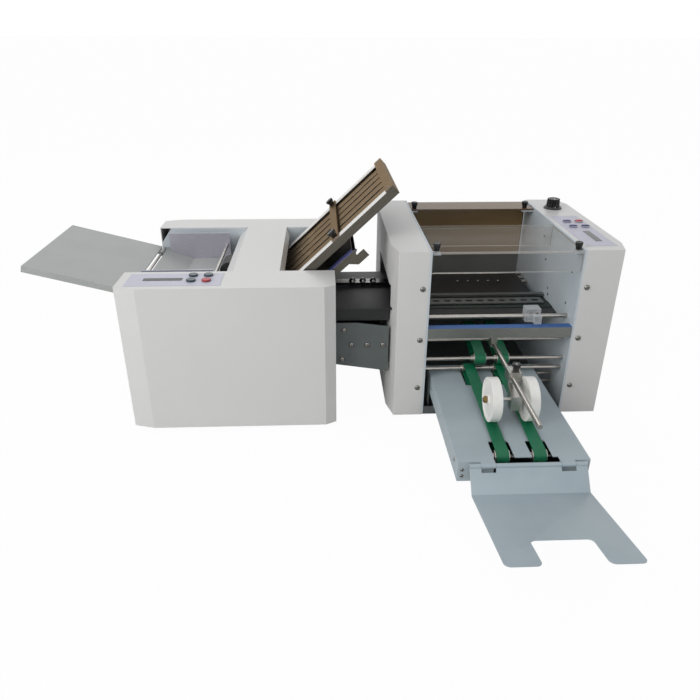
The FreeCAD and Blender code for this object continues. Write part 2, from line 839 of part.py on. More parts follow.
def feed_table():
    """A flat tray with turned-down sides, on two knuckles at its lower end."""
    tuck = "(table_flange - table_thickness - hinge_pin_radius)"
    run = "((table_run - %s * sin(table_slope * 1 deg)) / cos(table_slope * 1 deg))" % tuck
    reach = run + " - hinge_knuckle_radius - clear_gap"
    top = box(("-" + run, "table_front", "hinge_pin_radius"), (reach, "table_width", "table_thickness"))
    sides = [box(("-" + run, y, "-" + tuck), (reach, "sheet", "table_flange"))
             for y in ("table_front", "table_front + table_width - sheet")]
    knuckles = []
    for y in hinge_shapes():
        knuckles.append(rod(("0", y, "0"), "hinge_knuckle_radius", "hinge_knuckle_length", "y"))
        knuckles.append(box(("-4 * hinge_knuckle_radius", y, "-hinge_pin_radius"),
                            ("4 * hinge_knuckle_radius", "hinge_knuckle_length", "2 * hinge_pin_radius")))
    solid = fused("feed_table_solid", [top] + sides + knuckles)
    bore = rod(("0", "table_front - cut_overrun", "0"), "hinge_pin_radius + running_gap",
               "table_width + 2 * cut_overrun", "y")
    table = cut("feed_table", solid, [bore])
    place(table, ("table_hinge_x", "0", "table_hinge_height"), Y_AXIS, "table_slope")
    keep(table, "feed_table")


def feed_ramp():
    """The fixed floor of the feed bay: down from the table, then level to the feed roller."""
    keep(outline("feed_ramp", "xz", [
        ("ramp_start_x", "ramp_start_z"),
        ("ramp_bend_x", "ramp_level"),
        ("ramp_end_x", "ramp_level"),
        ("ramp_end_x", "ramp_level - sheet"),
        ("ramp_bend_x", "ramp_level - sheet"),
        ("ramp_start_x", "ramp_start_z - sheet"),
    ], "bay_front", "bay_back - bay_front"), "feed_ramp")


def side_guide(label, edge, hub_start):
    """An upright plate that steers the stack's edge, hung on its rod by a hub."""
    plate = outline(label + "_plate", "xz", [
        ("guide_left_x", "guide_left_z"),
        ("guide_left_x", "ramp_level + guide_height"),
        ("guide_rod_x + guide_hub_radius", "ramp_level + guide_height"),
        ("guide_rod_x + guide_hub_radius", "ramp_level + clear_gap"),
        ("ramp_bend_x", "ramp_level + clear_gap"),
    ], edge, "guide_sheet")
    hub = rod(("guide_rod_x", hub_start, "guide_rod_z"), "guide_hub_radius", "guide_hub_length", "y")
    foot = box(("ramp_bend_x + sheet", hub_start, "ramp_level + clear_gap"),
               ("guide_foot", "guide_hub_length", "guide_sheet"))
    bore = rod(("guide_rod_x", "%s - 2 * guide_hub_length" % edge, "guide_rod_z"),
               "guide_rod_radius + running_gap", "4 * guide_hub_length", "y")
    solid = fused(label + "_solid", [plate, hub, foot])
    keep(cut(label, solid, [bore]), label)


def side_guides():
    front = "bay_front + guide_edge_gap"
    rear = "(bay_back - guide_edge_gap - guide_sheet)"
    side_guide("side_guide_front", front, front + " - guide_hub_length")
    side_guide("side_guide_rear", rear, rear + " + guide_sheet")


def feed_roller():
    wheel = rod(("feed_roller_x", "bay_middle - feed_roller_width / 2", "feed_roller_z"),
                "feed_roller_radius", "feed_roller_width", "y")
    shaft = rod(("feed_roller_x", "bay_front - frame_plate", "feed_roller_z"),
                "feed_shaft_radius", "bay_back - bay_front + 2 * frame_plate", "y")
    keep(fused("feed_roller", [wheel, shaft]), "feed_roller")


# The fold rollers and their drive


def fold_rollers():
    for number in (1, 2, 3, 4):
        x = "roller_%d_x" % number
        z = "roller_%d_z" % number
        barrel = rod((x, "bay_front + roller_end_gap", z), "roller_radius",
                     "bay_back - bay_front - 2 * roller_end_gap", "y")
        shaft = rod((x, "bay_front - frame_plate - roller_end_gap", z), "roller_journal",
                    "bay_back - bay_front + 2 * frame_plate + 2 * roller_end_gap", "y")
        pieces = [barrel, shaft]
        if number == 2:
            pieces.append(rod((x, "bay_back + frame_plate + drive_pulley_gap - clear_gap", z),
                              "pulley_radius", "pulley_width + 2 * clear_gap", "y"))
            pieces.append(rod((x, "bay_back + frame_plate", z), "roller_journal",
                              "drive_pulley_gap + pulley_width", "y"))
        keep(fused("fold_roller_%d" % number, pieces), "fold_roller_%d" % number)


def loop(axis_points, thickness, gap):
    """The closed section of a belt round two pulleys, each an (across, up, radius) triple."""
    (a1, u1, r1), (a2, u2, r2) = axis_points
    span = math.hypot(a2 - a1, u2 - u1)
    heading = math.atan2(u2 - u1, a2 - a1)
    wires = []
    for grow in (gap + thickness, gap):
        lean = math.acos((r1 - r2) / span)
        ends = []
        for turn in (heading + lean, heading - lean):
            for a, u, r in ((a1, u1, r1), (a2, u2, r2)):
                reach = r + grow
                ends.append(FreeCAD.Vector(0, a + reach * math.cos(turn), u + reach * math.sin(turn)))
        far_1 = FreeCAD.Vector(0, a1 - (r1 + grow) * math.cos(heading), u1 - (r1 + grow) * math.sin(heading))
        far_2 = FreeCAD.Vector(0, a2 + (r2 + grow) * math.cos(heading), u2 + (r2 + grow) * math.sin(heading))
        edges = [
            Part.LineSegment(ends[0], ends[1]).toShape(),
            Part.Arc(ends[1], far_2, ends[3]).toShape(),
            Part.LineSegment(ends[3], ends[2]).toShape(),
            Part.Arc(ends[2], far_1, ends[0]).toShape(),
        ]
        wires.append(Part.Wire(edges))
    return wires


def loop_solid(axis_points, thickness, gap, start, width):
    outer, inner = [Part.Face(wire) for wire in loop(axis_points, thickness, gap)]
    solid = outer.cut(inner).extrude(FreeCAD.Vector(width, 0, 0))
    solid.translate(FreeCAD.Vector(start, 0, 0))
    return solid


def drive():
    """The motor on its flange, its pulley, and the belt up to the second fold roller."""
    body = rod(("motor_x", "bay_back - motor_length", "motor_height"), "motor_radius", "motor_length", "y")
    keep(body, "drive_motor")
    rear = "bay_back + frame_plate + drive_pulley_gap"
    shaft = rod(("motor_x", "bay_back + frame_plate", "motor_height"), "motor_shaft",
                "drive_pulley_gap + pulley_width", "y")
    wheel = rod(("motor_x", rear + " - clear_gap", "motor_height"), "motor_pulley_radius",
                "pulley_width + 2 * clear_gap", "y")
    keep(fused("motor_pulley", [shaft, wheel]), "motor_pulley")
    pulleys = [(size("motor_x"), size("motor_height"), size("motor_pulley_radius")),
               (size("roller_2_x"), size("roller_2_z"), size("pulley_radius"))]
    solid = loop_solid(pulleys, size("drive_belt_thickness"), size("belt_gap"), 0, size("pulley_width"))
    solid.rotate(ORIGIN, Z_AXIS, -QUARTER_TURN)
    solid.translate(FreeCAD.Vector(0, size("bay_back") + size("frame_plate") + size("drive_pulley_gap")
                                   + size("pulley_width"), 0))
    belt = DOC.addObject("Part::Feature", "drive_belt")
    belt.Shape = solid
    keep(belt, "drive_belt")

# The fold plates, drawn lying flat with their top face at zero and then tilted


def rails(length, depth, low):
    """Two angle rails: a flat top flange and an outer side web each."""
    pieces = []
    for near, web, lip in (
        ("0", "0", "0"),
        ("plate_width - rail_width", "plate_width - rail_sheet", "plate_width - rail_width / 2 - rail_sheet"),
    ):
        flange = box(("0", near, "-rail_sheet"), (length, "rail_width", "rail_sheet"))
        side = box(("0", web, "-" + depth), (length, "rail_sheet", depth))
        foot = box(("0", lip, "-" + depth), (length, "rail_width / 2 + rail_sheet", low))
        pieces.append(fused("rail", [flange, side, foot]))
    return pieces


BAR_COUNT = 5


def bar_start(number):
    """The near edge of one lengthwise bar; the gaps between bars and rails are all alike."""
    inside = "(plate_width - 2 * rail_width)"
    gap = "((%s - %d * bar_width) / %d)" % (inside, BAR_COUNT, BAR_COUNT + 1)
    return "rail_width + (%d + 1) * %s + %d * bar_width" % (number, gap, number), gap


def upper_plate():
    length = "upper_plate_length"
    pieces = rails(length + " - end_plate_sheet", "upper_plate_depth", "back_sheet")
    for number in range(BAR_COUNT):
        near, gap = bar_start(number)
        pieces.append(box(("0", near, "-bar_drop - bar_sheet"),
                          (length + " - end_plate_sheet", "bar_width", "bar_sheet")))
    pieces.append(box(("0", "rail_sheet", "-upper_plate_depth + back_sheet"),
                      (length + " - end_plate_sheet", "plate_width - 2 * rail_sheet", "back_sheet")))
    wall = box((length + " - end_plate_sheet", "0", "-upper_plate_depth"),
               ("end_plate_sheet", "plate_width", "upper_plate_depth + end_plate_rise"))
    cap = box((length + " - end_cap", "0", "0"), ("end_cap", "plate_width", "end_plate_rise"))
    pieces.append(fused("end_piece", [wall, cap]))
    pieces.append(box(("plate_rod_place + end_plate", "rail_sheet", "-bar_drop - bar_sheet - back_sheet"),
                      ("end_plate", "plate_width - 2 * rail_sheet", "back_sheet")))
    pieces.append(box((length + " - end_plate_sheet - 2 * end_plate", "rail_sheet",
                       "-bar_drop - bar_sheet - back_sheet"),
                      ("end_plate", "plate_width - 2 * rail_sheet", "back_sheet")))
    plate = grouped("fold_plate_upper", pieces)
    tilt(plate, ("upper_x", "plates_front", "upper_z"), "fold_slope")
    keep(plate, "fold_plate_upper")


def stop_bar():
    """The bar that stops the sheet: it lies across the rails, with a finger in each gap."""
    bar = box(("stop_place", "0", "clear_gap"), ("stop_width", "plate_width", "stop_sheet"))
    pieces = [bar]
    for number in range(BAR_COUNT - 1):
        near, gap = bar_start(number)
        pieces.append(box(("stop_place + stop_width / 2 - stop_finger_depth / 2",
                           near + " + bar_width + %s / 2 - stop_finger_length / 2" % gap,
                           "-stop_finger_depth"),
                          ("stop_finger_depth", "stop_finger_length", "stop_finger_depth + 2 * clear_gap")))
    for edge in ("stop_knob_edge", "plate_width - stop_knob_edge"):
        pieces.append(rod(("stop_place + stop_width / 2", edge, "clear_gap + stop_sheet / 2"),
                          "stop_stud_radius", "stop_stud_height"))
    bar = fused("stop_bar", pieces)
    tilt(bar, ("upper_x", "plates_front", "upper_z"), "fold_slope")
    keep(bar, "stop_bar")
    for label, edge in (("stop_knob_front", "stop_knob_edge"),
                        ("stop_knob_rear", "plate_width - stop_knob_edge")):
        at = ("stop_place + stop_width / 2", edge, "2 * clear_gap + stop_sheet")
        grip = rod(at, "stop_knob_radius", "stop_knob_height")
        bore = rod(("stop_place + stop_width / 2", edge, "0"), "stop_stud_radius + running_gap",
                   "stop_sheet + stop_stud_height")
        knob = cut(label, grip, [bore])
        tilt(knob, ("upper_x", "plates_front", "upper_z"), "fold_slope")
        keep(knob, label)


def lower_plate():
    """The shorter plate under it, closed by a plain face, with a hooked cheek at its end."""
    length = "lower_plate_length"
    pieces = rails(length, "lower_plate_depth", "back_sheet")
    pieces.append(box(("0", "rail_sheet", "-lower_plate_depth + back_sheet"),
                      (length, "plate_width - 2 * rail_sheet", "back_sheet")))
    pieces.append(box(("0", "rail_width", "-back_sheet"),
                      (length, "plate_width - 2 * rail_width", "back_sheet")))
    for near in ("-hook_sheet", "plate_width"):
        cheek = outline("hook_cheek", "xz", [
            (length + " - hook_length", "0"),
            (length + " + hook_length / 2", "0"),
            (length + " + hook_length / 2", "-hook_notch / 2"),
            (length + " + hook_notch / 4", "-hook_notch"),
            (length + " + hook_notch / 4", "-hook_notch * 3 / 2"),
            (length + " + hook_length", "-hook_notch * 3 / 2"),
            (length + " + hook_length", "-hook_height"),
            (length + " - hook_notch", "-hook_height"),
            (length + " - hook_length", "-lower_plate_depth"),
        ], near, "hook_sheet")
        pieces.append(cheek)
    plate = grouped("fold_plate_lower", pieces)
    tilt(plate, ("lower_x", "plates_front + hook_sheet", "lower_z"), "fold_slope")
    keep(plate, "fold_plate_lower")

# The bridge between the two units

CHAMBER = "(chamber_right - chamber_left)"


def ball_holes(first, place_y, height, radius):
    return [rod(("feeder_right + %s + %d * ball_pitch" % (first, number), place_y, height),
                radius, "ball_bar_sheet + 2 * cut_overrun") for number in range(3)]


def decks():
    """The bridge's dark deck, the stepped dark deck in the cross unit and the pan under the bed."""
    deck = box(("feeder_right", "deck_front", "deck_top - deck_sheet"),
               ("deck_end - feeder_right", "deck_width", "deck_sheet"))
    skirts = [box(("feeder_right", y, "deck_top - deck_skirt"),
                  ("cross_left - feeder_right", "deck_sheet", "deck_skirt - deck_sheet / 2"))
              for y in ("deck_front + deck_skirt_setback", "deck_back - deck_skirt_setback - deck_sheet")]
    near = box(("chamber_left", "bed_plate_place", "bed_plate_height"),
               (CHAMBER, "bed_plate_width", "plate_back_sheet"))
    far = box(("chamber_left + plate_back_left", "plate_back_place", "plate_back_height"),
              (CHAMBER + " - plate_back_left - plate_back_right", "plate_back_width", "plate_back_sheet"))
    pan = box(("bed_left + bed_sheet", "bed_front + bed_sheet", "bed_top - bed_depth_down"),
              ("bed_width - 2 * bed_sheet", "bed_back_slot - bed_front - bed_sheet", "bed_sheet"))
    bridge = fused("bridge_deck", [deck] + skirts)
    keep(grouped("sheet_decks", [bridge, fused("chamber_deck", [near, far]), pan]), "sheet_decks")


def bridge_sides():
    """The bridge's grey side plates, deeper at the feeder, and the floor between them."""
    sides = []
    for number, face in enumerate(("bridge_side_front", "deck_back - bridge_side_sheet")):
        sides.append(outline("bridge_side_%d" % number, "xz", [
            ("feeder_right", "bridge_side_low_a"), ("feeder_right", "bridge_side_top_a"),
            ("feeder_right + bridge_side_flat", "bridge_side_top_a"),
            ("cross_left", "bridge_side_top_b"), ("cross_left", "bridge_side_low_b"),
        ], face, "bridge_side_sheet"))
    inside = "deck_back - bridge_side_front - 2 * bridge_side_sheet"
    tray = box(("feeder_right", "bridge_side_front + bridge_side_sheet", "bridge_side_low_a + sheet"),
               ("cross_left - feeder_right", inside, "sheet"))
    return [fused("bridge_sides", sides + [tray])]


def marble_slots():
    """The eleven oval holes along the cross unit's marble strip."""
    holes = []
    start = "(chamber_left + chamber_right - marble_strip_inset) / 2 - 5 * marble_pitch"
    for number in range(11):
        middle = "%s + %d * marble_pitch" % (start, number)
        low = "marble_strip_height - cut_overrun"
        tall = "marble_strip_sheet + 2 * cut_overrun"
        half = "(marble_slot_length - marble_slot_width) / 2"
        across = "marble_strip_place + marble_strip_width / 2"
        ends = [rod(("%s %s %s" % (middle, sign, half), across, low), "marble_slot_width / 2", tall)
                for sign in "-+"]
        waist = box(("%s - %s" % (middle, half), across + " - marble_slot_width / 2", low),
                    ("2 * " + half, "marble_slot_width", tall))
        holes.append(fused("slot", ends + [waist]))
    return holes


def ball_bars():
    """The two strips that hold marbles down on the moving sheet, and the bridge's three balls."""
    near = "ball_bar_place - ball_bar_width / 2"
    low = "deck_top + ball_bar_rise"
    bar = box(("feeder_right", near, low), ("deck_end - feeder_right", "ball_bar_width", "ball_bar_sheet"))
    holes = ball_holes("ball_first", "ball_bar_place", low + " - cut_overrun", "ball_radius + clear_gap")
    bored = cut("ball_bar_bored", bar, holes)
    feet = [box((x, near, "deck_top"), ("frame_plate", "ball_bar_width", "ball_bar_rise"))
            for x in ("feeder_right", "deck_end - frame_plate")]
    strip = box(("chamber_left", "marble_strip_place", "marble_strip_height"),
                (CHAMBER + " - marble_strip_inset", "marble_strip_width", "marble_strip_sheet"))
    slotted = cut("marble_strip_slotted", strip, marble_slots())
    rail = box(("chamber_left", "marble_strip_place + marble_strip_width + marble_rail_gap",
                "marble_strip_height"), (CHAMBER, "marble_rail_width", "2 * marble_strip_sheet"))
    balls = []
    for number in range(3):
        ball = DOC.addObject("Part::Sphere", "marble")
        bind(ball, "Radius", "ball_radius")
        at = ("feeder_right + ball_first + %d * ball_pitch" % number, "ball_bar_place",
              "deck_top + ball_radius")
        balls.append(place(ball, at))
    bars = [fused("ball_bar_whole", [bored] + feet), slotted, rail]
    keep(grouped("marble_bars", bars + balls), "marble_bars")


# The cross fold unit's shells and frame


def side_cover(label, inner_face, outer_face, sign):
    """A tall cover whose outer edges are bevelled, open towards the frame and below."""

    def shape(name, inset, low, high):
        out = "%s - %s * %s" % (outer_face, sign, inset)
        bevel = "%s - %s * side_bevel_run" % (out, sign)
        return outline(name, "xy", [
            (inner_face, "cross_front + " + inset), (bevel, "cross_front + " + inset),
            (out, "cross_front + side_bevel_depth"), (out, "cross_back - side_bevel_depth"),
            (bevel, "cross_back - " + inset), (inner_face, "cross_back - " + inset),
        ], low, high)

    outer = shape(label + "_outer", "0", "foot_height", "cross_height")
    inner = shape(label + "_inner", "sheet", "foot_height - cut_overrun",
                  "cross_height - sheet + cut_overrun")
    return outer, inner


def window(start, width):
    """The opening that the bridge's deck enters by."""
    return box((start, "deck_front - window_margin", "deck_top - window_drop"),
               (width, "deck_width + 2 * window_margin", "window_height"))


def cross_covers():
    outer, inner = side_cover("cover_left", "cross_inner_left", "cross_left", "-1")
    through = "side_bevel_run + sheet + 2 * cut_overrun"
    mouth = box(("cross_left - cut_overrun", "deck_front + mouth_lead", "deck_top - window_drop"),
                (through, "deck_width + window_margin - mouth_lead", "window_height"))
    slit = box(("cross_left - cut_overrun", "deck_front - clear_gap", "deck_top - deck_sheet - clear_gap"),
               (through, "mouth_lead + 2 * clear_gap", "deck_sheet + 2 * clear_gap"))
    keep(cut("cover_left", outer, [inner, mouth, slit]), "cover_left")
    outer, inner = side_cover("cover_right", "cross_inner_right", "cross_right", "1")
    shaft = rod(("cross_right - dial_inset", "dial_place", "cross_top - dial_shaft_length"),
                "dial_shaft_radius + running_gap", "2 * dial_shaft_length")
    keep(cut("cover_right", outer, [inner, shaft] + button_holes("cross")), "cover_right")


def stud_places():
    """The four studs: front left, front right, rear left and rear right."""
    return [("chamber_left + stud_inset", "front_stud_place"),
            ("chamber_right - stud_inset", "front_stud_place"),
            ("chamber_left + stud_inset", "rear_stud_place"),
            ("chamber_right - far_stud_inset", "rear_stud_place")]


def cross_shafts():
    """The belt shafts that run in the cross unit's frame plates."""
    return [("upper_shaft_place", "upper_shaft_height"), ("lower_shaft_place", "lower_shaft_height"),
            ("back_shaft_place", "back_shaft_height")]


def cross_frames():
    plates = []
    for number, (face, inward) in enumerate((("cross_inner_left", 1), ("chamber_right", -1))):
        plate = outline("cross_plate_%d" % number, "yz", [
            ("cross_front", "floor_top"), ("cross_front", "cross_top"),
            ("cross_back - sheet", "cross_top"), ("cross_back - sheet", "floor_top"),
        ], face, "frame_plate")
        bores = [rod((face + " - cut_overrun", y, z), "shaft_radius + running_gap",
                     "frame_plate + 2 * cut_overrun", "x") for y, z in cross_shafts()]
        if inward > 0:
            bores.append(window(face + " - cut_overrun", "frame_plate + 2 * cut_overrun"))
        bored = cut("cross_plate_bored_%d" % number, plate, bores)
        tabs = []
        for x, y in stud_places()[number::2]:
            wide = "far_tab_width" if "far" in x else "tab_width"
            near = "chamber_left" if inward > 0 else "chamber_right - " + wide
            tabs.append(box((near, y + " - tab_length / 2", "tab_top - tab_sheet"),
                            (wide, "tab_length", "tab_sheet")))
            tabs.append(rod((x, y, "tab_top - tab_sheet"), "stud_radius",
                            "tab_sheet + cover_acrylic + cover_knob_height - 2 * clear_gap"))
        plates.append(fused("cross_plate_whole_%d" % number, [bored] + tabs))
    keep(grouped("side_frames_cross", plates), "side_frames_cross")


def across(y, z, radius):
    """A fixed rod from one cross frame plate to the other."""
    return rod(("chamber_left", y, z), radius, CHAMBER, "x")


def crossbar():
    """The front crossbar, with the boss below it that holds the guide arm."""
    bar = box(("chamber_left", "cross_front", "crossbar_low"),
              (CHAMBER, "crossbar_depth", "crossbar_high - crossbar_low"))
    boss = box(("arm_place - arm_boss_width / 2", "cross_front", "arm_height - arm_boss_height / 2"),
               ("arm_boss_width", "crossbar_depth", "crossbar_low - arm_height + arm_boss_height / 2"))
    bore = rod(("arm_place", "cross_front - cut_overrun", "arm_height"), "arm_radius",
               "crossbar_depth + 2 * cut_overrun", "y")
    keep(cut("front_crossbar", fused("crossbar_solid", [bar, boss]), [bore]), "front_crossbar")


def steel_rods():
    """All fixed bright rods: table pin, guide rod, plate rods, cross unit rods and the arm."""
    rods = [between("table_hinge_x", "table_hinge_height", "hinge_pin_radius"),
            between("guide_rod_x", "guide_rod_z", "guide_rod_radius")]
    rods += plate_rods()
    rods.append(across("block_rod_place", "block_rod_height", "block_rod_radius"))
    rods.append(across("thin_rod_place", "thin_rod_height", "thin_rod_radius"))
    for number in range(3):
        rods.append(across("rear_rod_place + %d * rear_rod_pitch" % number, "rear_rod_height",
                           "block_rod_radius"))
    for number in range(4):
        rods.append(across("low_rod_place", "low_rod_height + %d * low_rod_pitch" % number,
                           "thin_rod_radius"))
    rods.append(rod(("arm_place", "arm_reach", "arm_height"), "arm_radius",
                    "cross_front + crossbar_depth - arm_reach", "y"))
    rods.append(rod(("tray_left", "tray_hinge_place", "tray_hinge_height"), "tray_pin_radius",
                    "tray_width", "x"))
    keep(grouped("steel_rods", rods), "steel_rods")


# The acrylic covers, their knobs and the clamp block


def stud_clearance(x, y, low):
    return rod((x, y, low), "stud_radius + stud_hole_gap", "cover_acrylic + 2 * cut_overrun")


def clear_cover():
    """A clear lid over the front half: a flat top with a lip turned down at each end."""
    left = "chamber_left + clear_side_gap"
    wide = CHAMBER + " - 2 * clear_side_gap"
    top = box((left, "clear_front", "tab_top"), (wide, "clear_depth", "cover_acrylic"))
    front = box((left, "clear_front", "clear_top - clear_front_lip"),
                (wide, "cover_acrylic", "clear_front_lip - cover_acrylic / 2"))
    rear = box((left, "clear_front + clear_depth - cover_acrylic", "clear_top - clear_rear_lip"),
               (wide, "cover_acrylic", "clear_rear_lip - cover_acrylic / 2"))
    holes = [stud_clearance(x, y, "tab_top - cut_overrun") for x, y in stud_places()[:2]]
    keep(cut("clear_cover", fused("clear_cover_solid", [top, front, rear]), holes), "clear_cover")


def tinted_panel():
    """The brown panel at the back: a flange under the rear knobs, then a steep slope down."""
    left = "chamber_left + clear_side_gap"
    wide = CHAMBER + " - 2 * clear_side_gap"
    shape = outline("tinted_panel_solid", "yz", [
        ("tint_front", "clear_top"), ("tint_front + tint_flange", "clear_top"),
        ("tint_foot_place", "tint_foot_height"),
        ("tint_foot_place - cover_acrylic", "tint_foot_height"),
        ("tint_front + tint_flange - cover_acrylic", "tab_top"), ("tint_front", "tab_top"),
    ], left, wide)
    holes = [stud_clearance(x, y, "tab_top - cut_overrun") for x, y in stud_places()[2:]]
    keep(cut("tinted_panel", shape, holes), "tinted_panel")


def cover_knobs():
    names = ("knob_front_left", "knob_front_right", "knob_rear_left", "knob_rear_right")
    for label, (x, y) in zip(names, stud_places()):
        grip = rod((x, y, "clear_top + clear_gap"), "cover_knob_radius", "cover_knob_height")
        bore = rod((x, y, "clear_top - cut_overrun"), "stud_radius + running_gap",
                   "cut_overrun + cover_knob_height - clear_gap")
        keep(cut(label, grip, [bore]), label)


def acrylic_block():
    """The clear block that clamps on its rod and steers the sheet's edge."""
    x = "acrylic_block_place"
    head = box((x, "block_rod_place - acrylic_block_depth / 2",
                "block_rod_height - acrylic_block_height / 3 + clear_gap"),
               ("acrylic_block_width", "acrylic_block_depth", "acrylic_block_height"))
    foot = box((x + " + acrylic_block_width / 2",
                "block_rod_place - acrylic_block_depth / 2 - acrylic_foot_depth",
                "block_rod_height - acrylic_block_height / 3 + clear_gap"),
               ("acrylic_block_width / 2", "acrylic_foot_depth", "acrylic_foot_height"))
    bore = rod((x + " - cut_overrun", "block_rod_place", "block_rod_height"),
               "block_rod_radius + running_gap", "acrylic_block_width + 2 * cut_overrun", "x")
    keep(cut("clamp_block", fused("clamp_block_solid", [head, foot]), [bore]), "clamp_block")


# The belt shafts


def belt_middles(kind):
    return ("upper_belt_a", "upper_belt_b") if kind == "upper" else ("bed_belt_a", "bed_belt_b")


def pulley_shaft(label, kind, y, z, radius, start, length):
    """A shaft with a flanged pulley and a set collar for each belt."""
    pieces = [rod((start, y, z), "shaft_radius", length, "x")]
    for middle in belt_middles(kind):
        near = "%s - belt_width / 2" % middle
        pieces.append(rod((near + " - pulley_side", y, z), radius, "belt_width + 2 * pulley_side", "x"))
        pieces.append(rod((near + " - pulley_side - collar_length", y, z), "collar_radius",
                          "collar_length", "x"))
    keep(fused(label, pieces), label)


def belt_shafts():
    start = "cross_inner_left"
    length = "cross_inner_right - cross_inner_left"
    pulley_shaft("upper_shaft", "upper", "upper_shaft_place", "upper_shaft_height", "upper_pulley_radius",
                 start, length)
    pulley_shaft("rear_shaft", "upper", "back_shaft_place", "back_shaft_height", "upper_pulley_radius",
                 start, length)
    pulley_shaft("lower_shaft", "bed", "lower_shaft_place", "lower_shaft_height", "lower_pulley_radius",
                 start, length)


def belt_loops():
    """Two belts rising to the rear, two long ones down the bed, and the flat band under the marbles."""
    solids = []
    spans = {
        "upper": (("upper_shaft_place", "upper_shaft_height", "upper_pulley_radius"),
                  ("back_shaft_place", "back_shaft_height", "upper_pulley_radius")),
        "bed": (("front_pulley_place", "front_pulley_height", "front_pulley_radius"),
                ("lower_shaft_place", "lower_shaft_height", "lower_pulley_radius")),
    }
    for kind, pulleys in spans.items():
        points = [tuple(size(name) for name in pulley) for pulley in pulleys]
        for middle in belt_middles(kind):
            solids.append(loop_solid(points, size("belt_thickness"), size("belt_gap"),
                                     size(middle) - size("belt_width") / 2, size("belt_width")))
    loops = DOC.addObject("Part::Feature", "belt_loops")
    loops.Shape = Part.makeCompound(solids)
    band = box(("chamber_left", "marble_strip_place - cross_band_lead", "plate_back_height"),
               (CHAMBER, "cross_band_width", "cross_band_sheet"))
    keep(grouped("green_belts", [loops, band]), "green_belts")

# The belt delivery in front


def bed_tabs():
    """Where the bed's two tabs start along the tray's pin."""
    return "tray_left + tray_knuckle_inset", "tray_right - tray_knuckle_inset - tray_knuckle_length"


def delivery_bed():
    """A bed with turned-down sides, slotted for the belts, with two tabs curled round the tray's pin."""
    top = box(("bed_left", "bed_front", "bed_top - bed_sheet"),
              ("bed_width", "bed_back - bed_front", "bed_sheet"))
    walls = [box((x, "bed_front", "bed_top - bed_depth_down"),
                 ("bed_sheet", "bed_back - bed_front", "bed_depth_down - bed_sheet / 2"))
             for x in ("bed_left", "bed_right - bed_sheet")]
    walls.append(box(("bed_left", "bed_front", "bed_top - bed_depth_down"),
                     ("bed_width", "bed_sheet", "bed_depth_down - bed_sheet / 2")))
    slots = []
    for middle in belt_middles("bed"):
        near = "%s - bed_slot_width / 2" % middle
        front = box((near, "bed_front + bed_mouth_depth / 2", "bed_top - 2 * bed_sheet"),
                    ("bed_slot_width", "bed_slot_reach - bed_mouth_depth / 2", "bed_depth_down"))
        slots.append(rounded("slot_rounded", front, "bed_slot_corner", vertical))
        slots.append(box((middle + " - bed_rear_slot_width / 2", "bed_back_slot", "bed_top - 2 * bed_sheet"),
                         ("bed_rear_slot_width", "bed_back - bed_back_slot + cut_overrun",
                          "bed_depth_down")))
    tab_a, tab_b = bed_tabs()
    slots.append(box((tab_a + " + tray_knuckle_length", "bed_front - cut_overrun",
                      "bed_top - bed_mouth_height"),
                     ("tray_width - 2 * tray_knuckle_inset - 2 * tray_knuckle_length",
                      "bed_mouth_depth + cut_overrun", "bed_mouth_height + cut_overrun")))
    shaft = rod(("bed_left - cut_overrun", "front_pulley_place", "front_pulley_height"),
                "shaft_radius + running_gap", "bed_width + 2 * cut_overrun", "x")
    tabs = []
    for x in (tab_a, tab_b):
        tabs.append(rod((x, "tray_hinge_place", "tray_hinge_height"), "tray_knuckle_radius",
                        "tray_knuckle_length", "x"))
        tabs.append(box((x, "tray_hinge_place", "bed_top - bed_sheet"),
                        ("tray_knuckle_length", "2 * tray_hinge_lead", "bed_sheet")))
    pin = rod(("bed_left", "tray_hinge_place", "tray_hinge_height"), "tray_pin_radius", "bed_width", "x")
    solid = fused("delivery_bed_solid", [top] + walls + tabs)
    keep(cut("delivery_bed", solid, slots + [shaft, pin]), "delivery_bed")


def front_pulleys():
    """The shaft under the bed's front edge, with its two belt pulleys."""
    pulley_shaft("front_pulleys", "bed", "front_pulley_place", "front_pulley_height", "front_pulley_radius",
                 "bed_left", "bed_width")


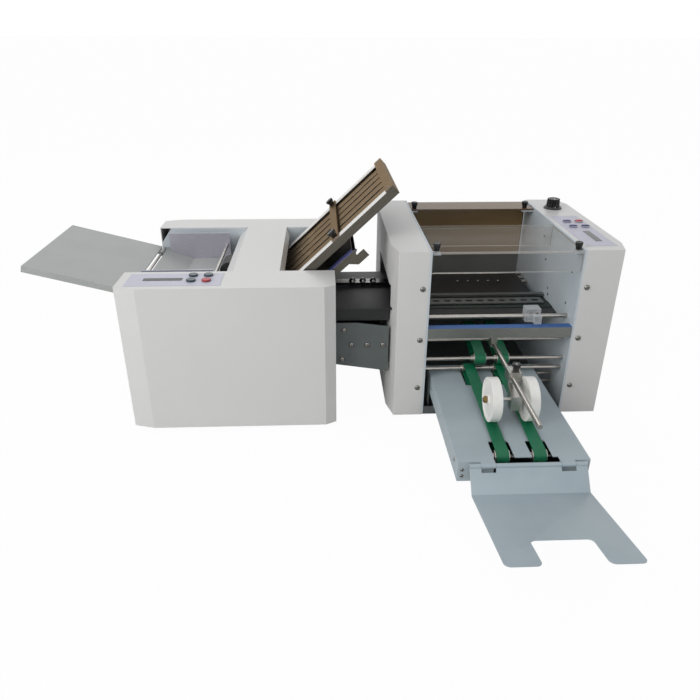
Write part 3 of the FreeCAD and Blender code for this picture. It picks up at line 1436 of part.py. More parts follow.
def wheel_bracket():
    """A block on the guide arm, with a flat link down past the wheels' axle and a knob beside the arm."""
    top = "arm_height + bracket_block_height / 2"
    under = "arm_height - bracket_block_height / 2"
    block = box(("arm_place - bracket_block_lead", "bracket_place - bracket_block_depth / 2", under),
                ("bracket_block_width", "bracket_block_depth", "bracket_block_height"))
    link = outline("bracket_link", "yz", [
        ("bracket_place - bracket_block_depth / 2", under),
        ("bracket_place - bracket_block_depth / 2 + 2 * bracket_arm_sheet", under),
        ("wheel_place + 2 * bracket_arm_sheet", "wheel_height - bracket_link_drop"),
        ("wheel_place - 2 * bracket_arm_sheet", "wheel_height - bracket_link_drop"),
        ("wheel_place - 2 * bracket_arm_sheet", "wheel_height + 2 * bracket_arm_sheet"),
    ], "arm_place - bracket_block_lead", "bracket_arm_width")
    knob_place = "arm_place + bracket_knob_lead"
    stud = rod((knob_place, "bracket_place", top), "stud_radius", "bracket_knob_length - clear_gap")
    arm_bore = rod(("arm_place", "bracket_place - 2 * bracket_block_depth", "arm_height"),
                   "arm_radius + running_gap", "4 * bracket_block_depth", "y")
    axle_bore = rod(("arm_place - bracket_block_width", "wheel_place", "wheel_height"),
                    "axle_radius + running_gap", "2 * bracket_block_width", "x")
    solid = fused("wheel_bracket_solid", [block, link, stud])
    keep(cut("wheel_bracket", solid, [arm_bore, axle_bore]), "wheel_bracket")
    grip = rod((knob_place, "bracket_place", top + " + clear_gap"), "bracket_knob_radius",
               "bracket_knob_length")
    bore = rod((knob_place, "bracket_place", "arm_height"), "stud_radius + running_gap",
               "bracket_block_height / 2 + bracket_knob_length - clear_gap / 2")
    keep(cut("bracket_knob", grip, [bore]), "bracket_knob")


def press_wheels():
    """Two wheels with a rim, a thinner web and a hub, turning as one with their axle."""
    axle = [rod(("wheel_a - wheel_hub_width / 2 - axle_end", "wheel_place", "wheel_height"), "axle_radius",
                "wheel_b - wheel_a + wheel_hub_width + 2 * axle_end", "x")]
    for start in ("wheel_a - wheel_hub_width / 2 - axle_nut_length", "wheel_b + wheel_hub_width / 2"):
        axle.append(rod((start, "wheel_place", "wheel_height"), "axle_nut_radius", "axle_nut_length", "x"))
    wheels = []
    for middle in ("wheel_a", "wheel_b"):
        rim = rod((middle + " - wheel_width / 2", "wheel_place", "wheel_height"), "wheel_radius",
                  "wheel_width", "x")
        hollows = [rod((middle + start, "wheel_place", "wheel_height"), "wheel_radius - wheel_rim",
                       "wheel_width / 2 - wheel_web / 2", "x")
                   for start in (" - wheel_width / 2", " + wheel_web / 2")]
        hub = rod((middle + " - wheel_hub_width / 2", "wheel_place", "wheel_height"), "wheel_hub_radius",
                  "wheel_hub_width", "x")
        bore = rod((middle + " - wheel_hub_width", "wheel_place", "wheel_height"), "axle_radius",
                   "2 * wheel_hub_width", "x")
        wheels.append(cut("wheel", fused("wheel_solid", [cut("wheel_rim", rim, hollows), hub]), [bore]))
    keep(grouped("press_wheels", [fused("axle_solid", axle)] + wheels), "press_wheels")


def exit_tray():
    """A bent sheet rolled round its pin: down from its hinge, then up to a notched tip."""
    solid = outline("tray_bent", "yz", [
        ("tray_hinge_place - tray_knuckle_radius / 2", "tray_hinge_height"),
        ("tray_bend_place", "tray_bend_height"),
        ("-machine_depth / 2", "tray_tip_height"),
        ("-machine_depth / 2", "tray_tip_height - tray_sheet"),
        ("tray_bend_place", "tray_bend_height - 3 * tray_sheet / 2"),
        ("tray_hinge_place + tray_sheet - tray_knuckle_radius / 2", "tray_hinge_height - tray_sheet"),
    ], "tray_left", "tray_width")
    notch = box(("tray_middle - tray_notch_width / 2", "-machine_depth / 2 - cut_overrun",
                 "tray_tip_height - tray_notch_depth"),
                ("tray_notch_width", "tray_notch_depth + cut_overrun", "2 * tray_notch_depth"))
    blank = box(("tray_left", "-machine_depth / 2", "tray_bend_height - 2 * tray_sheet"),
                ("tray_width", "machine_depth / 2 + tray_hinge_place + 2 * tray_knuckle_radius",
                 "tray_hinge_height - tray_bend_height + 2 * tray_sheet + 2 * tray_knuckle_radius"))
    plan = cut("tray_plan", blank, [rounded("notch_rounded", notch, "tray_notch_corner", inner_notch)])
    smooth = shared("tray_trimmed", solid, rounded("tray_rounded", plan, "tray_corner", tip_corner))
    tab_a, tab_b = bed_tabs()
    edges = (("tray_left", tab_a + " - clear_gap"),
             (tab_a + " + tray_knuckle_length + clear_gap", tab_b + " - clear_gap"),
             (tab_b + " + tray_knuckle_length + clear_gap", "tray_right"))
    rolls = [rod((start, "tray_hinge_place", "tray_hinge_height"), "tray_knuckle_radius",
                 "(%s) - (%s)" % (end, start), "x") for start, end in edges]
    gaps = [box((start + " - clear_gap", "tray_hinge_place - 2 * tray_knuckle_radius",
                 "tray_hinge_height - 3 * tray_knuckle_radius"),
                ("tray_knuckle_length + 2 * clear_gap", "4 * tray_knuckle_radius",
                 "5 * tray_knuckle_radius")) for start in (tab_a, tab_b)]
    bore = rod(("tray_left - cut_overrun", "tray_hinge_place", "tray_hinge_height"),
               "tray_pin_radius + running_gap", "tray_width + 2 * cut_overrun", "x")
    gapped = cut("tray_gapped", smooth, gaps)
    keep(cut("exit_tray", fused("exit_tray_solid", [gapped] + rolls), [bore]), "exit_tray")


def tip_corner(edge):
    """The upright edges at the tray's tip, beside its sides and beside its notch."""
    box_of = edge.BoundBox
    return vertical(edge) and box_of.YMax < -size("machine_depth") / 2 + size("tray_sheet")


def inner_notch(edge):
    box_of = edge.BoundBox
    return vertical(edge) and box_of.YMin > -size("machine_depth") / 2


# Controls


def feeder_buttons():
    return [("feeder_left + feeder_button_left + %d * feeder_button_pitch" % column,
             "feeder_front + feeder_button_front + %d * feeder_button_pitch" % row)
            for row in range(2) for column in range(2)]


def cross_buttons():
    return [("cross_right - cross_button_inset - %d * cross_button_pitch_x" % column,
             "cross_button_front + %d * cross_button_pitch_y" % row)
            for row in range(2) for column in range(2)]


BUTTON_PLACES = {"feeder": (feeder_buttons, "feeder_top"), "cross": (cross_buttons, "cross_top")}


def button_holes(unit):
    places, top = BUTTON_PLACES[unit]
    return [rod((x, y, top + " - button_stem"), "button_stem_radius + running_gap", "2 * button_stem")
            for x, y in places()]


def buttons():
    """Round caps on stems that run in holes through the overlay and the cover."""
    for unit, (places, top) in BUTTON_PLACES.items():
        for number, (x, y) in enumerate(places(), start=1):
            low = top + " + overlay_sheet + button_travel + clear_gap"
            cap = rod((x, y, low), "button_radius", "button_height")
            stem = rod((x, y, top + " - button_stem"), "button_stem_radius",
                       "button_stem + overlay_sheet + button_travel + clear_gap + button_height / 2")
            label = "%s_button_%d" % (unit, number)
            keep(fused(label, [cap, stem]), label)


def control_panels():
    """A thin printed overlay and a raised display window on each unit."""
    feeder = box(("feeder_left + feeder_overlay_left", "feeder_front + feeder_overlay_front", "feeder_top"),
                 ("feeder_overlay_length", "feeder_overlay_depth", "overlay_sheet"))
    cross = box(("cross_right - cross_overlay_inset - cross_overlay_width", "cross_overlay_front",
                 "cross_top"),
                ("cross_overlay_width", "cross_overlay_depth", "overlay_sheet"))
    pieces = [cut("feeder_overlay", feeder, button_holes("feeder")),
              cut("cross_overlay", cross, button_holes("cross"))]
    pieces.append(box(("feeder_left + feeder_display_left", "feeder_front + feeder_display_front",
                       "feeder_overlay_top"),
                      ("feeder_display_length", "feeder_display_depth", "overlay_sheet")))
    pieces.append(box(("cross_right - cross_display_inset - cross_display_width", "cross_display_front",
                       "cross_overlay_top"),
                      ("cross_display_width", "cross_display_depth", "overlay_sheet")))
    keep(grouped("control_panels", pieces), "control_panels")


def dial_knob():
    """The speed dial: a wide skirt, a slightly tapered grip and its shaft."""
    at = ("cross_right - dial_inset", "dial_place")
    skirt = cone(at + ("cross_top + clear_gap",), "dial_skirt_radius",
                 "dial_skirt_radius - dial_skirt_height / 2", "dial_skirt_height")
    grip = cone(at + ("cross_top + clear_gap",), "dial_radius", "dial_radius - dial_skirt_height / 4",
                "dial_height")
    shaft = rod(at + ("cross_top - dial_shaft_length",), "dial_shaft_radius",
                "dial_shaft_length + dial_height / 2")
    keep(fused("dial_knob", [skirt, grip, shaft]), "dial_knob")


def power_inlet():
    """The mains inlet's body, set in the rear cover with its mouth facing back."""
    back = "feeder_back - sheet"
    x = "feeder_left + inlet_left"
    body = box((x, back + " - inlet_depth + sheet", "inlet_low"),
               ("inlet_width", "inlet_depth", "inlet_height"))
    mouth = box((x + " + inlet_wall", back + " - inlet_depth / 2 + sheet", "inlet_low + inlet_wall"),
                ("inlet_width - 2 * inlet_wall", "inlet_depth", "inlet_height - 2 * inlet_wall"))
    keep(cut("power_inlet", body, [mouth]), "power_inlet")


def power_switch():
    """A rocker on a cross pin, in its own window in the rear cover, pressed in at its top."""
    reach = "(switch_depth - sheet / 2)"
    half = "(switch_height / 2 - switch_margin)"
    body = outline("switch_body", "yz", [
        ("-switch_pin", "-switch_pin"), (reach, "-" + half), (reach + " - sheet / 2", "0"), (reach, half),
        ("-switch_pin", "switch_pin"),
    ], "clear_gap", "switch_width - 2 * clear_gap")
    pin = rod(("-2 * sheet", "0", "0"), "switch_pin", "switch_width + 4 * sheet", "x")
    rocker = fused("power_switch", [body, pin])
    pivot = ("feeder_left + switch_left", "feeder_back - switch_depth", "inlet_low + switch_height / 2")
    place(rocker, pivot, X_AXIS, "-switch_tilt")
    keep(rocker, "power_switch")


def rear_windows():
    """The cut-outs in the rear cover for the inlet and the switch."""
    x = "feeder_left + switch_left"
    inlet = box(("feeder_left + inlet_left", "feeder_back - cut_overrun", "inlet_low"),
                ("inlet_width", "2 * cut_overrun", "inlet_height"))
    rocker = box((x, "feeder_back - cut_overrun", "inlet_low"),
                 ("switch_width", "2 * cut_overrun", "switch_height"))
    return [inlet, rocker]


# The base, the feet and the screws


def switch_ears():
    """Two ears inside the rear cover that hold the rocker's pin."""
    x = "feeder_left + switch_left"
    pivot = "feeder_back - switch_depth"
    middle = "inlet_low + switch_height / 2"
    ears = [box((start, pivot + " - 2 * switch_pin", middle + " - 2 * switch_pin"),
                ("2 * sheet - 2 * clear_gap", "switch_depth - sheet + 2 * switch_pin", "4 * switch_pin"))
            for start in (x + " - 2 * sheet", x + " + switch_width + 2 * clear_gap")]
    bore = rod((x + " - 4 * sheet", pivot, middle), "switch_pin + running_gap",
               "switch_width + 8 * sheet", "x")
    return ears, bore


def bed_brackets():
    """Two uprights on the cross unit's floor that the bed's sides bolt between."""
    return [box((x, "bed_bracket_back - bed_bracket_depth", "floor_top"),
                ("bed_bracket_sheet", "bed_bracket_depth", "bed_top - bed_sheet - floor_top"))
            for x in ("bed_left - bed_bracket_sheet", "bed_right")]


def base_frame():
    """The two floor plates, the uprights for the bed and the bridge's grey side plates."""
    rim = "sheet + clear_gap"
    feeder = box(("feeder_left + frame_end_inset + sheet", "feeder_front + bevel_depth + " + rim,
                  "foot_height"),
                 ("feeder_length - 2 * frame_end_inset - 2 * sheet",
                  "feeder_depth - 2 * bevel_depth - 2 * sheet - 2 * clear_gap", "base_plate"))
    cross = box(("cross_left + side_bevel_run + " + rim, "cross_front + " + rim, "foot_height"),
                ("cross_length - 2 * side_bevel_run - 2 * sheet - 2 * clear_gap",
                 "cross_depth - 2 * sheet - 2 * clear_gap", "base_plate"))
    lip = box(("chamber_left", "cross_front + " + rim, "foot_height + base_plate / 2"),
              (CHAMBER, "base_plate", "base_lip_height"))
    return [feeder, fused("cross_floor", [cross, lip] + bed_brackets())]


def end_panels():
    """The plain sheets that close the feeder's two ends and the cross unit's back."""
    panels = []
    high = "deck_top - deck_skirt - clear_gap - floor_top"
    for x, height in (("feeder_left + frame_end_inset", "ramp_level - sheet - clear_gap - floor_top"),
                      ("feeder_right - frame_end_inset - sheet", high)):
        panels.append(box((x, "bay_front", "floor_top"), ("sheet", "bay_back - bay_front", height)))
    panels.append(box(("chamber_left", "cross_back - 2 * sheet", "floor_top"),
                      (CHAMBER, "sheet", "tint_foot_height - sheet - floor_top")))
    return panels


def feet():
    """Eight round rubber feet, one near each corner of each unit."""
    pads = []
    corners = [("feeder_left", "feeder_right", "feeder_front", "feeder_back"),
               ("cross_left", "cross_right", "cross_front", "cross_back")]
    for left, right, front, back in corners:
        for x in (left + " + foot_inset", right + " - foot_inset"):
            for y in (front + " + foot_inset", back + " - foot_inset"):
                pads.append(rod((x, y, "0"), "foot_radius", "foot_height"))
    keep(grouped("feet", pads), "feet")


def dome_screw(at, turn_axis, turn):
    """A domed screw head: a cap cut from a ball, standing on its face."""
    head = DOC.addObject("Part::Cone", "screw")
    bind(head, "Radius1", "screw_radius")
    bind(head, "Radius2", "screw_radius / 2")
    bind(head, "Height", "screw_dome")
    head.Placement = FreeCAD.Placement(ORIGIN, FreeCAD.Rotation(turn_axis, turn))
    for key, text in zip("xyz", at):
        bind(head, "Placement.Base." + key, text)
    return head


BRIDGE_SCREW_SHARES = [(0.16, 0.83), (0.30, 0.475), (0.60, 0.47), (0.90, 0.465), (0.12, 0.12)]


def screws():
    """The domed screws on the cross unit's covers, the bridge's sides and the bed's front."""
    heads = []
    for x in ("cross_inner_left - screw_edge", "cross_inner_right + screw_edge"):
        for number in range(3):
            z = "screw_low + %d * screw_pitch" % number
            heads.append(dome_screw((x, "cross_front", z), X_AXIS, QUARTER_TURN))
            heads.append(dome_screw((x, "cross_back", z), X_AXIS, -QUARTER_TURN))
    for share_x, share_z in BRIDGE_SCREW_SHARES:
        at = ("feeder_right + %s * (cross_left - feeder_right)" % share_x, "bridge_side_front",
              "bridge_side_low_a + %s * (bridge_side_top_a - bridge_side_low_a)" % share_z)
        heads.append(dome_screw(at, X_AXIS, QUARTER_TURN))
    keep(grouped("screws", heads), "screws")


def build():
    feeder_covers()
    hood()
    feeder_frames()
    feed_table()
    feed_ramp()
    side_guides()
    feed_roller()
    fold_rollers()
    drive()
    upper_plate()
    stop_bar()
    lower_plate()
    decks()
    ball_bars()
    cross_covers()
    cross_frames()
    crossbar()
    steel_rods()
    clear_cover()
    tinted_panel()
    cover_knobs()
    acrylic_block()
    belt_shafts()
    belt_loops()
    delivery_bed()
    front_pulleys()
    wheel_bracket()
    press_wheels()
    exit_tray()
    control_panels()
    buttons()
    dial_knob()
    power_inlet()
    power_switch()
    keep(grouped("base_frame", base_frame() + bridge_sides() + end_panels()), "base_frame")
    feet()
    screws()


def check_and_write():
    """Stop if anything failed to build, then write each sub-part under its own name."""
    DOC.recompute()
    for thing in DOC.Objects:
        if "Invalid" in thing.State or "Error" in thing.State:
            raise RuntimeError("%s failed: %s" % (thing.Name, thing.State))
    for part in PARTS:
        if part.Shape.isNull() or not part.Shape.isValid() or not part.Shape.Solids:
            raise RuntimeError("%s has no valid solid" % part.Label)
    os.makedirs("parts", exist_ok=True)
    for part in PARTS:
        part.Shape.exportStep("parts/%s.step" % part.Label)
    whole = FreeCAD.BoundBox()
    for part in PARTS:
        whole.add(part.Shape.BoundBox)
    print("sub-parts", len(PARTS), "solids", sum(len(part.Shape.Solids) for part in PARTS))
    print("outline x %.2f %.2f y %.2f %.2f z %.2f %.2f" % (
        whole.XMin, whole.XMax, whole.YMin, whole.YMax, whole.ZMin, whole.ZMax))


build()
check_and_write()
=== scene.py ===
# %% [markdown]
# # A desktop paper folding machine
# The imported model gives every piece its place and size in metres. This notebook dresses those
# pieces: it softens their edges, gives each one its real finish, and adds the small parts that a
# hand would notice, such as fluted knobs, screw recesses, scales and buttons.

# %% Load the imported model
import bpy
import bmesh
import json
import math
from mathutils import Matrix, Vector

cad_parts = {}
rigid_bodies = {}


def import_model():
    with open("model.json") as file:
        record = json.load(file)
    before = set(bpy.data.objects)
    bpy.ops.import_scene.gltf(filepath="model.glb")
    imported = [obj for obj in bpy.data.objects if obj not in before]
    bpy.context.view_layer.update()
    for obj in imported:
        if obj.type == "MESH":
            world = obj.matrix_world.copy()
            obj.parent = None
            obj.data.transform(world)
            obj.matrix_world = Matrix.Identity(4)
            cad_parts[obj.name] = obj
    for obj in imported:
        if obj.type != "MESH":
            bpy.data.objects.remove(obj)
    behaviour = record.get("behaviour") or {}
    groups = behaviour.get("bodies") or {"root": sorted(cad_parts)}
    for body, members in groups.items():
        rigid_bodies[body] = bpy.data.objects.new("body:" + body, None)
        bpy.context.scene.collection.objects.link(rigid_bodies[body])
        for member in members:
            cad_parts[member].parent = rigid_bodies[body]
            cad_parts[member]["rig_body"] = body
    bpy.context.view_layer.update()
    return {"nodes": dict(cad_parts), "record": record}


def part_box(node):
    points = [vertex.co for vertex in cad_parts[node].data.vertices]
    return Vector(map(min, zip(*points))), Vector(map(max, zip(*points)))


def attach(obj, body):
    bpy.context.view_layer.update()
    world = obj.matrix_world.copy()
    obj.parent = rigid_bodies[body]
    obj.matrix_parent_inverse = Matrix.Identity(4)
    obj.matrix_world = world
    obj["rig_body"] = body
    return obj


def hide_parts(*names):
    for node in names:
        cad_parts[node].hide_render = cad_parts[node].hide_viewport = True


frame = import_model()
MM = 0.001

# %% [markdown]
# Colours are picked from a screen, so they are written as sRGB hex. The shader works in
# linear light, so one function turns hex to linear. Another adds a node with its settings and its
# links, which keeps every finish below short enough to read as a recipe.


# %% Colour and node helpers
def rgb(code):
    """sRGB hex, such as 'D8D5CE', as linear RGBA."""
    parts = [int(code[i:i + 2], 16) / 255 for i in (0, 2, 4)]
    return [c / 12.92 if c <= 0.04045 else ((c + 0.055) / 1.055) ** 2.4 for c in parts] + [1.0]


def add(mat, kind, links=None, **settings):
    """Add one node. Settings are its properties, or sockets when their name starts with a capital."""
    node = mat.node_tree.nodes.new(kind)
    for key, value in settings.items():
        name = key.replace("_", " ")
        if name[0].isupper() or name[0].isdigit():
            node.inputs[int(name) if name.isdigit() else name].default_value = value
        else:
            setattr(node, key, value)
    for key, source in (links or {}).items():
        mat.node_tree.links.new(source, node.inputs[key])
    return node


def new_material(name, code, roughness, metallic=0.0, **sockets):
    """A Principled surface with its plain values set on its own sockets."""
    mat = bpy.data.materials.new(name)
    mat.use_nodes = True
    shader = mat.node_tree.nodes["Principled BSDF"]
    shader.inputs["Base Color"].default_value = rgb(code)
    shader.inputs["Roughness"].default_value = roughness
    shader.inputs["Metallic"].default_value = metallic
    for key, value in sockets.items():
        shader.inputs[key.replace("_", " ")].default_value = value
    return mat, shader


def place_of(mat, millimetres, stretch=(1, 1, 1), turn=(0, 0, 0)):
    """Object coordinates, scaled so that one unit of a pattern is a real size in millimetres."""
    where = add(mat, "ShaderNodeTexCoord")
    scale = [s / (millimetres * MM) for s in stretch]
    mapping = add(mat, "ShaderNodeMapping", {"Vector": where.outputs["Object"]}, vector_type="POINT")
    mapping.inputs["Rotation"].default_value = turn
    stretcher = add(mat, "ShaderNodeVectorMath", {0: mapping.outputs["Vector"]}, operation="MULTIPLY")
    stretcher.inputs[1].default_value = scale
    return stretcher.outputs["Vector"]


SHADE_STOPS = (0.35, 0.65)


def mottle(mat, shader, codes, millimetres):
    """Let the colour drift between two close shades over patches of a real size."""
    noise = add(mat, "ShaderNodeTexNoise", {"Vector": place_of(mat, millimetres)},
                Scale=1.0, Detail=3.0)
    ramp = add(mat, "ShaderNodeValToRGB", {"Fac": noise.outputs["Fac"]})
    for stop, code, at in zip(ramp.color_ramp.elements, codes, SHADE_STOPS):
        stop.color = rgb(code)
        stop.position = at
    mat.node_tree.links.new(ramp.outputs["Color"], shader.inputs["Base Color"])
    return noise


def bumped(mat, shader, height, strength, millimetres):
    """Turn a pattern into small relief, with its depth in millimetres."""
    bump = add(mat, "ShaderNodeBump", {"Height": height}, Strength=strength, Distance=millimetres * MM)
    mat.node_tree.links.new(bump.outputs["Normal"], shader.inputs["Normal"])


def rough_drift(mat, shader, source, low, high):
    """Let the roughness follow a pattern between two values."""
    spread = add(mat, "ShaderNodeMapRange", {"Value": source}, To_Min=low, To_Max=high)
    mat.node_tree.links.new(spread.outputs["Result"], shader.inputs["Roughness"])


print("mid grey in linear light:", round(rgb("808080")[0], 3))

# %% [markdown]
# ## Painted sheet metal
# Powder coat is a baked plastic skin. Up close it has a very shallow ripple called orange peel,
# about 1.5 mm across, and hands and dust change its gloss in broad patches. Both are noise: a fine
# one for the relief and a coarse one for the gloss and the shade.


# %% Powder coat
def powder_coat(name, codes, roughness, patch=90.0, peel=0.015):
    """Baked paint, with the size of its patches and the depth of its orange peel in millimetres."""
    mat, shader = new_material(name, codes[0], roughness, IOR=1.5)
    broad = mottle(mat, shader, codes, patch)
    rough_drift(mat, shader, broad.outputs["Fac"], roughness - 0.06, roughness + 0.08)
    ripple = add(mat, "ShaderNodeTexNoise", {"Vector": place_of(mat, 1.5)}, Scale=1.0, Detail=2.0)
    bumped(mat, shader, ripple.outputs["Fac"], 0.5, peel)
    return mat


cover_paint = powder_coat("powder_coat_warm_white", ("D5D4D1", "D7D6D3"), 0.34, patch=220.0)
frame_paint = powder_coat("powder_coat_pale_blue_grey", ("C3CBD0", "C9D1D5"), 0.40)
bed_paint = powder_coat("powder_coat_blue_grey", ("A6B3B9", "AEBBC0"), 0.36)
table_paint = powder_coat("powder_coat_grey_green", ("9FA29F", "A7AAA7"), 0.45)
base_paint = powder_coat("powder_coat_slate", ("565C5B", "5E6463"), 0.42)
deck_paint = powder_coat("satin_black_paint", ("131415", "1A1B1D"), 0.46)
motor_paint = powder_coat("motor_enamel_black", ("1F2022", "27282A"), 0.40)
print("painted finishes: 7")

# %% [markdown]
# ## Bright metal
# Ground and brushed steel has fine parallel scratches along the way it was worked. The scratches
# are a noise stretched until it is almost a set of lines, so each material is told which way its
# pieces run. Their real spacing is a few hundredths of a millimetre, drawn here at 0.4 mm to show.


# %% Bright steel
def worked_metal(name, code, dark, roughness, stretch, turn=(0, 0, 0), spacing=0.4, edge="FFFFFF"):
    """Ground or rolled metal. The edge colour is what it turns to when it is seen along its face."""
    mat, shader = new_material(name, code, roughness, metallic=1.0)
    shader.inputs["Specular Tint"].default_value = rgb(edge)
    lines = add(mat, "ShaderNodeTexNoise", {"Vector": place_of(mat, spacing, stretch, turn)},
                Scale=1.0, Detail=4.0)
    ramp = add(mat, "ShaderNodeValToRGB", {"Fac": lines.outputs["Fac"]})
    for stop, shade, at in zip(ramp.color_ramp.elements, (dark, code), (0.3, 0.6)):
        stop.color = rgb(shade)
        stop.position = at
    mat.node_tree.links.new(ramp.outputs["Color"], shader.inputs["Base Color"])
    rough_drift(mat, shader, lines.outputs["Fac"], roughness - 0.08, roughness + 0.10)
    bumped(mat, shader, lines.outputs["Fac"], 0.25, 0.01)
    return mat


SLOPE = math.radians(43.2)
UPHILL = (0, SLOPE, 0)
ALONG_X, ALONG_Y, ALL_WAYS = (0.02, 1, 1), (1, 0.02, 1), (1, 1, 1)
steel_x = worked_metal("ground_steel_along_x", "BDB9B3", "8F8B86", 0.26, ALONG_X)
steel_y = worked_metal("ground_steel_along_y", "BDB9B3", "8F8B86", 0.26, ALONG_Y)
steel_plain = worked_metal("zinc_plated_steel", "C4C3BE", "9B9994", 0.30, ALL_WAYS, spacing=1.2)
screw_steel = worked_metal("blackened_socket_screw", "8E8C87", "6A6864", 0.24, ALL_WAYS, spacing=1.2)
plate_bars = worked_metal("rolled_steel_bars", "9A8C7B", "7C6F60", 0.32, ALONG_X, UPHILL, edge="B9AC9C")
plate_web = worked_metal("rolled_steel_web", "6F6A62", "55514B", 0.36, ALONG_X, UPHILL)
brass = worked_metal("turned_brass", "9A8055", "7A6440", 0.30, ALL_WAYS, spacing=1.0)
guide_metal = worked_metal("anodised_aluminium_sheet", "D2CFDA", "B9B6C2", 0.36, ALONG_X)
print("metal finishes: 8")

# %% [markdown]
# ## Rubber, plastic and acrylic
# Ground rubber is nearly black and scatters light broadly. Moulded plastic is smoother, with a
# fine spark-eroded grain. Cast acrylic is clear, but a sawn and polished edge gathers light along
# the sheet and looks milky white, so the edges get a material of their own.


# %% Rubber and belts
def ground_rubber(name, codes, roughness, grain=0.8):
    """Rubber with broad dusty patches and a coarse grit, its grain in millimetres."""
    mat, shader = new_material(name, codes[0], roughness, IOR=1.5)
    mottle(mat, shader, codes, 25.0)
    grit = add(mat, "ShaderNodeTexNoise", {"Vector": place_of(mat, grain)}, Scale=1.0, Detail=5.0)
    bumped(mat, shader, grit.outputs["Fac"], 0.6, 0.05)
    return mat


roller_rubber = ground_rubber("ground_black_rubber", ("1C1C1D", "262627"), 0.62)
foot_rubber = ground_rubber("moulded_foot_rubber", ("151516", "1E1E1F"), 0.70)
black_belt = ground_rubber("neoprene_drive_belt", ("17181A", "202124"), 0.55)
green_belt = ground_rubber("green_polyurethane_belt", ("01613F", "046B47"), 0.48, grain=1.4)
# The upper runs of the green belts lie in shade; this darker green is painted shade on them.
belt_painted_shade = ground_rubber("green_belt_painted_shade", ("02140C", "041D12"), 0.55, grain=1.4)
print("rubber finishes: 5")


# %% Moulded plastics
def moulded(name, code, other, roughness, grain=0.5):
    """Moulded plastic with a fine spark-eroded grain, its size in millimetres."""
    mat, shader = new_material(name, code, roughness, IOR=1.5)
    mottle(mat, shader, (code, other), 12.0)
    sparks = add(mat, "ShaderNodeTexNoise", {"Vector": place_of(mat, grain)}, Scale=1.0, Detail=3.0)
    bumped(mat, shader, sparks.outputs["Fac"], 0.4, 0.02)
    return mat


black_plastic = moulded("moulded_black_abs", "131314", "1B1B1C", 0.38)
black_gloss = moulded("gloss_black_phenolic", "0E0E0F", "161617", 0.20)
white_plastic = moulded("turned_white_nylon", "EDEBE5", "F2F1EC", 0.36)
pointer_white = moulded("white_pointer_line", "E8E6E0", "EEECE6", 0.40)
dark_button = moulded("moulded_teal_button", "12303B", "1A3B47", 0.24)
blue_button = moulded("moulded_blue_button", "14245C", "1B2C68", 0.28)
red_button = moulded("moulded_red_button", "A5222F", "B02B38", 0.30)
overlay_film = moulded("printed_overlay_film", "BEBECB", "C4C4D0", 0.44)
display_glass = moulded("display_window_film", "16181C", "1C1F24", 0.16)
print("plastic finishes: 9")

# %% [markdown]
# Clear sheet lets most light straight through and reflects more as the view gets flatter. Here the
# sheet is thin next to the machine, so instead of bending light through a solid block its opacity
# follows the facing angle: low when seen square on, high when seen along the sheet. The brown panel
# is dusty and lets little through at any angle.


# %% Acrylic sheet
def acrylic(name, code, square_on, along, roughness=0.04, gloss=0.5):
    """Acrylic, with its opacity seen square on and seen along the sheet."""
    mat, shader = new_material(name, code, roughness, IOR=1.49)
    shader.inputs["Specular IOR Level"].default_value = gloss
    facing = add(mat, "ShaderNodeLayerWeight", Blend=0.35)
    clear = add(mat, "ShaderNodeMapRange", {"Value": facing.outputs["Facing"]},
                To_Min=square_on, To_Max=along)
    mat.node_tree.links.new(clear.outputs["Result"], shader.inputs["Alpha"])
    haze = add(mat, "ShaderNodeTexNoise", {"Vector": place_of(mat, 60.0)}, Scale=1.0, Detail=4.0)
    rough_drift(mat, shader, haze.outputs["Fac"], roughness, roughness + 0.10)
    return mat


clear_sheet = acrylic("cast_acrylic_clear", "94897A", 0.03, 0.17)
clear_edge = acrylic("cast_acrylic_clear_edge", "B9B6B0", 0.55, 0.9, 0.12)
# The brown panel's slope and flat top are one brown, lit and shaded: the slope's lighter brown is
# painted light for the shade under the top, and the top's darker brown is painted shade.
brown_slope_painted_light = acrylic("cast_acrylic_brown", "8E7246", 0.92, 0.96, 0.10, 0.2)
brown_top_painted_shade = acrylic("cast_acrylic_brown_lid", "6E5431", 0.94, 0.98, 0.12, 0.15)
brown_edge = acrylic("cast_acrylic_brown_edge", "5A4630", 0.92, 1.0, 0.12)
block_acrylic = acrylic("milled_acrylic_block", "D9DCDE", 0.22, 0.90)
print("acrylic finishes: 6")

# %% [markdown]
# ## Skins
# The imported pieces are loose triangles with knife-sharp edges, and real sheet and castings never
# are. A skin is a copy of a piece with its points merged, its flat faces joined, and a narrow bevel
# on every hard edge, so that each edge catches a line of light. It stands for the piece it copies.

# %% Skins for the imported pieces
SLOT_OF = {part["node"]: part["material_slot"] for part in frame["record"]["subparts"]}
BODY_OF = {node: piece["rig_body"] for node, piece in frame["nodes"].items()}
HARD_EDGE = math.radians(32)
FLAT_ENOUGH = math.radians(0.5)
WELD = 0.01 * MM
print("material slots:", len(set(SLOT_OF.values())))


def place_piece(name, bm, materials, body, soft=None, steps=2, smooth=True):
    """Turn a finished bmesh into an object on a body, with a bevel on its hard edges."""
    mesh = bpy.data.meshes.new(name)
    bm.to_mesh(mesh)
    bm.free()
    piece = bpy.data.objects.new(name, mesh)
    bpy.context.scene.collection.objects.link(piece)
    for material in materials:
        mesh.materials.append(material)
    if smooth:
        mesh.shade_smooth()
        mesh.set_sharp_from_angle(angle=HARD_EDGE)
    if soft:
        edge = piece.modifiers.new("soft_edges", "BEVEL")
        edge.width = soft * MM
        edge.segments = steps
        edge.limit_method = "ANGLE"
        edge.angle_limit = HARD_EDGE
        edge.harden_normals = True
    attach(piece, body)
    return piece


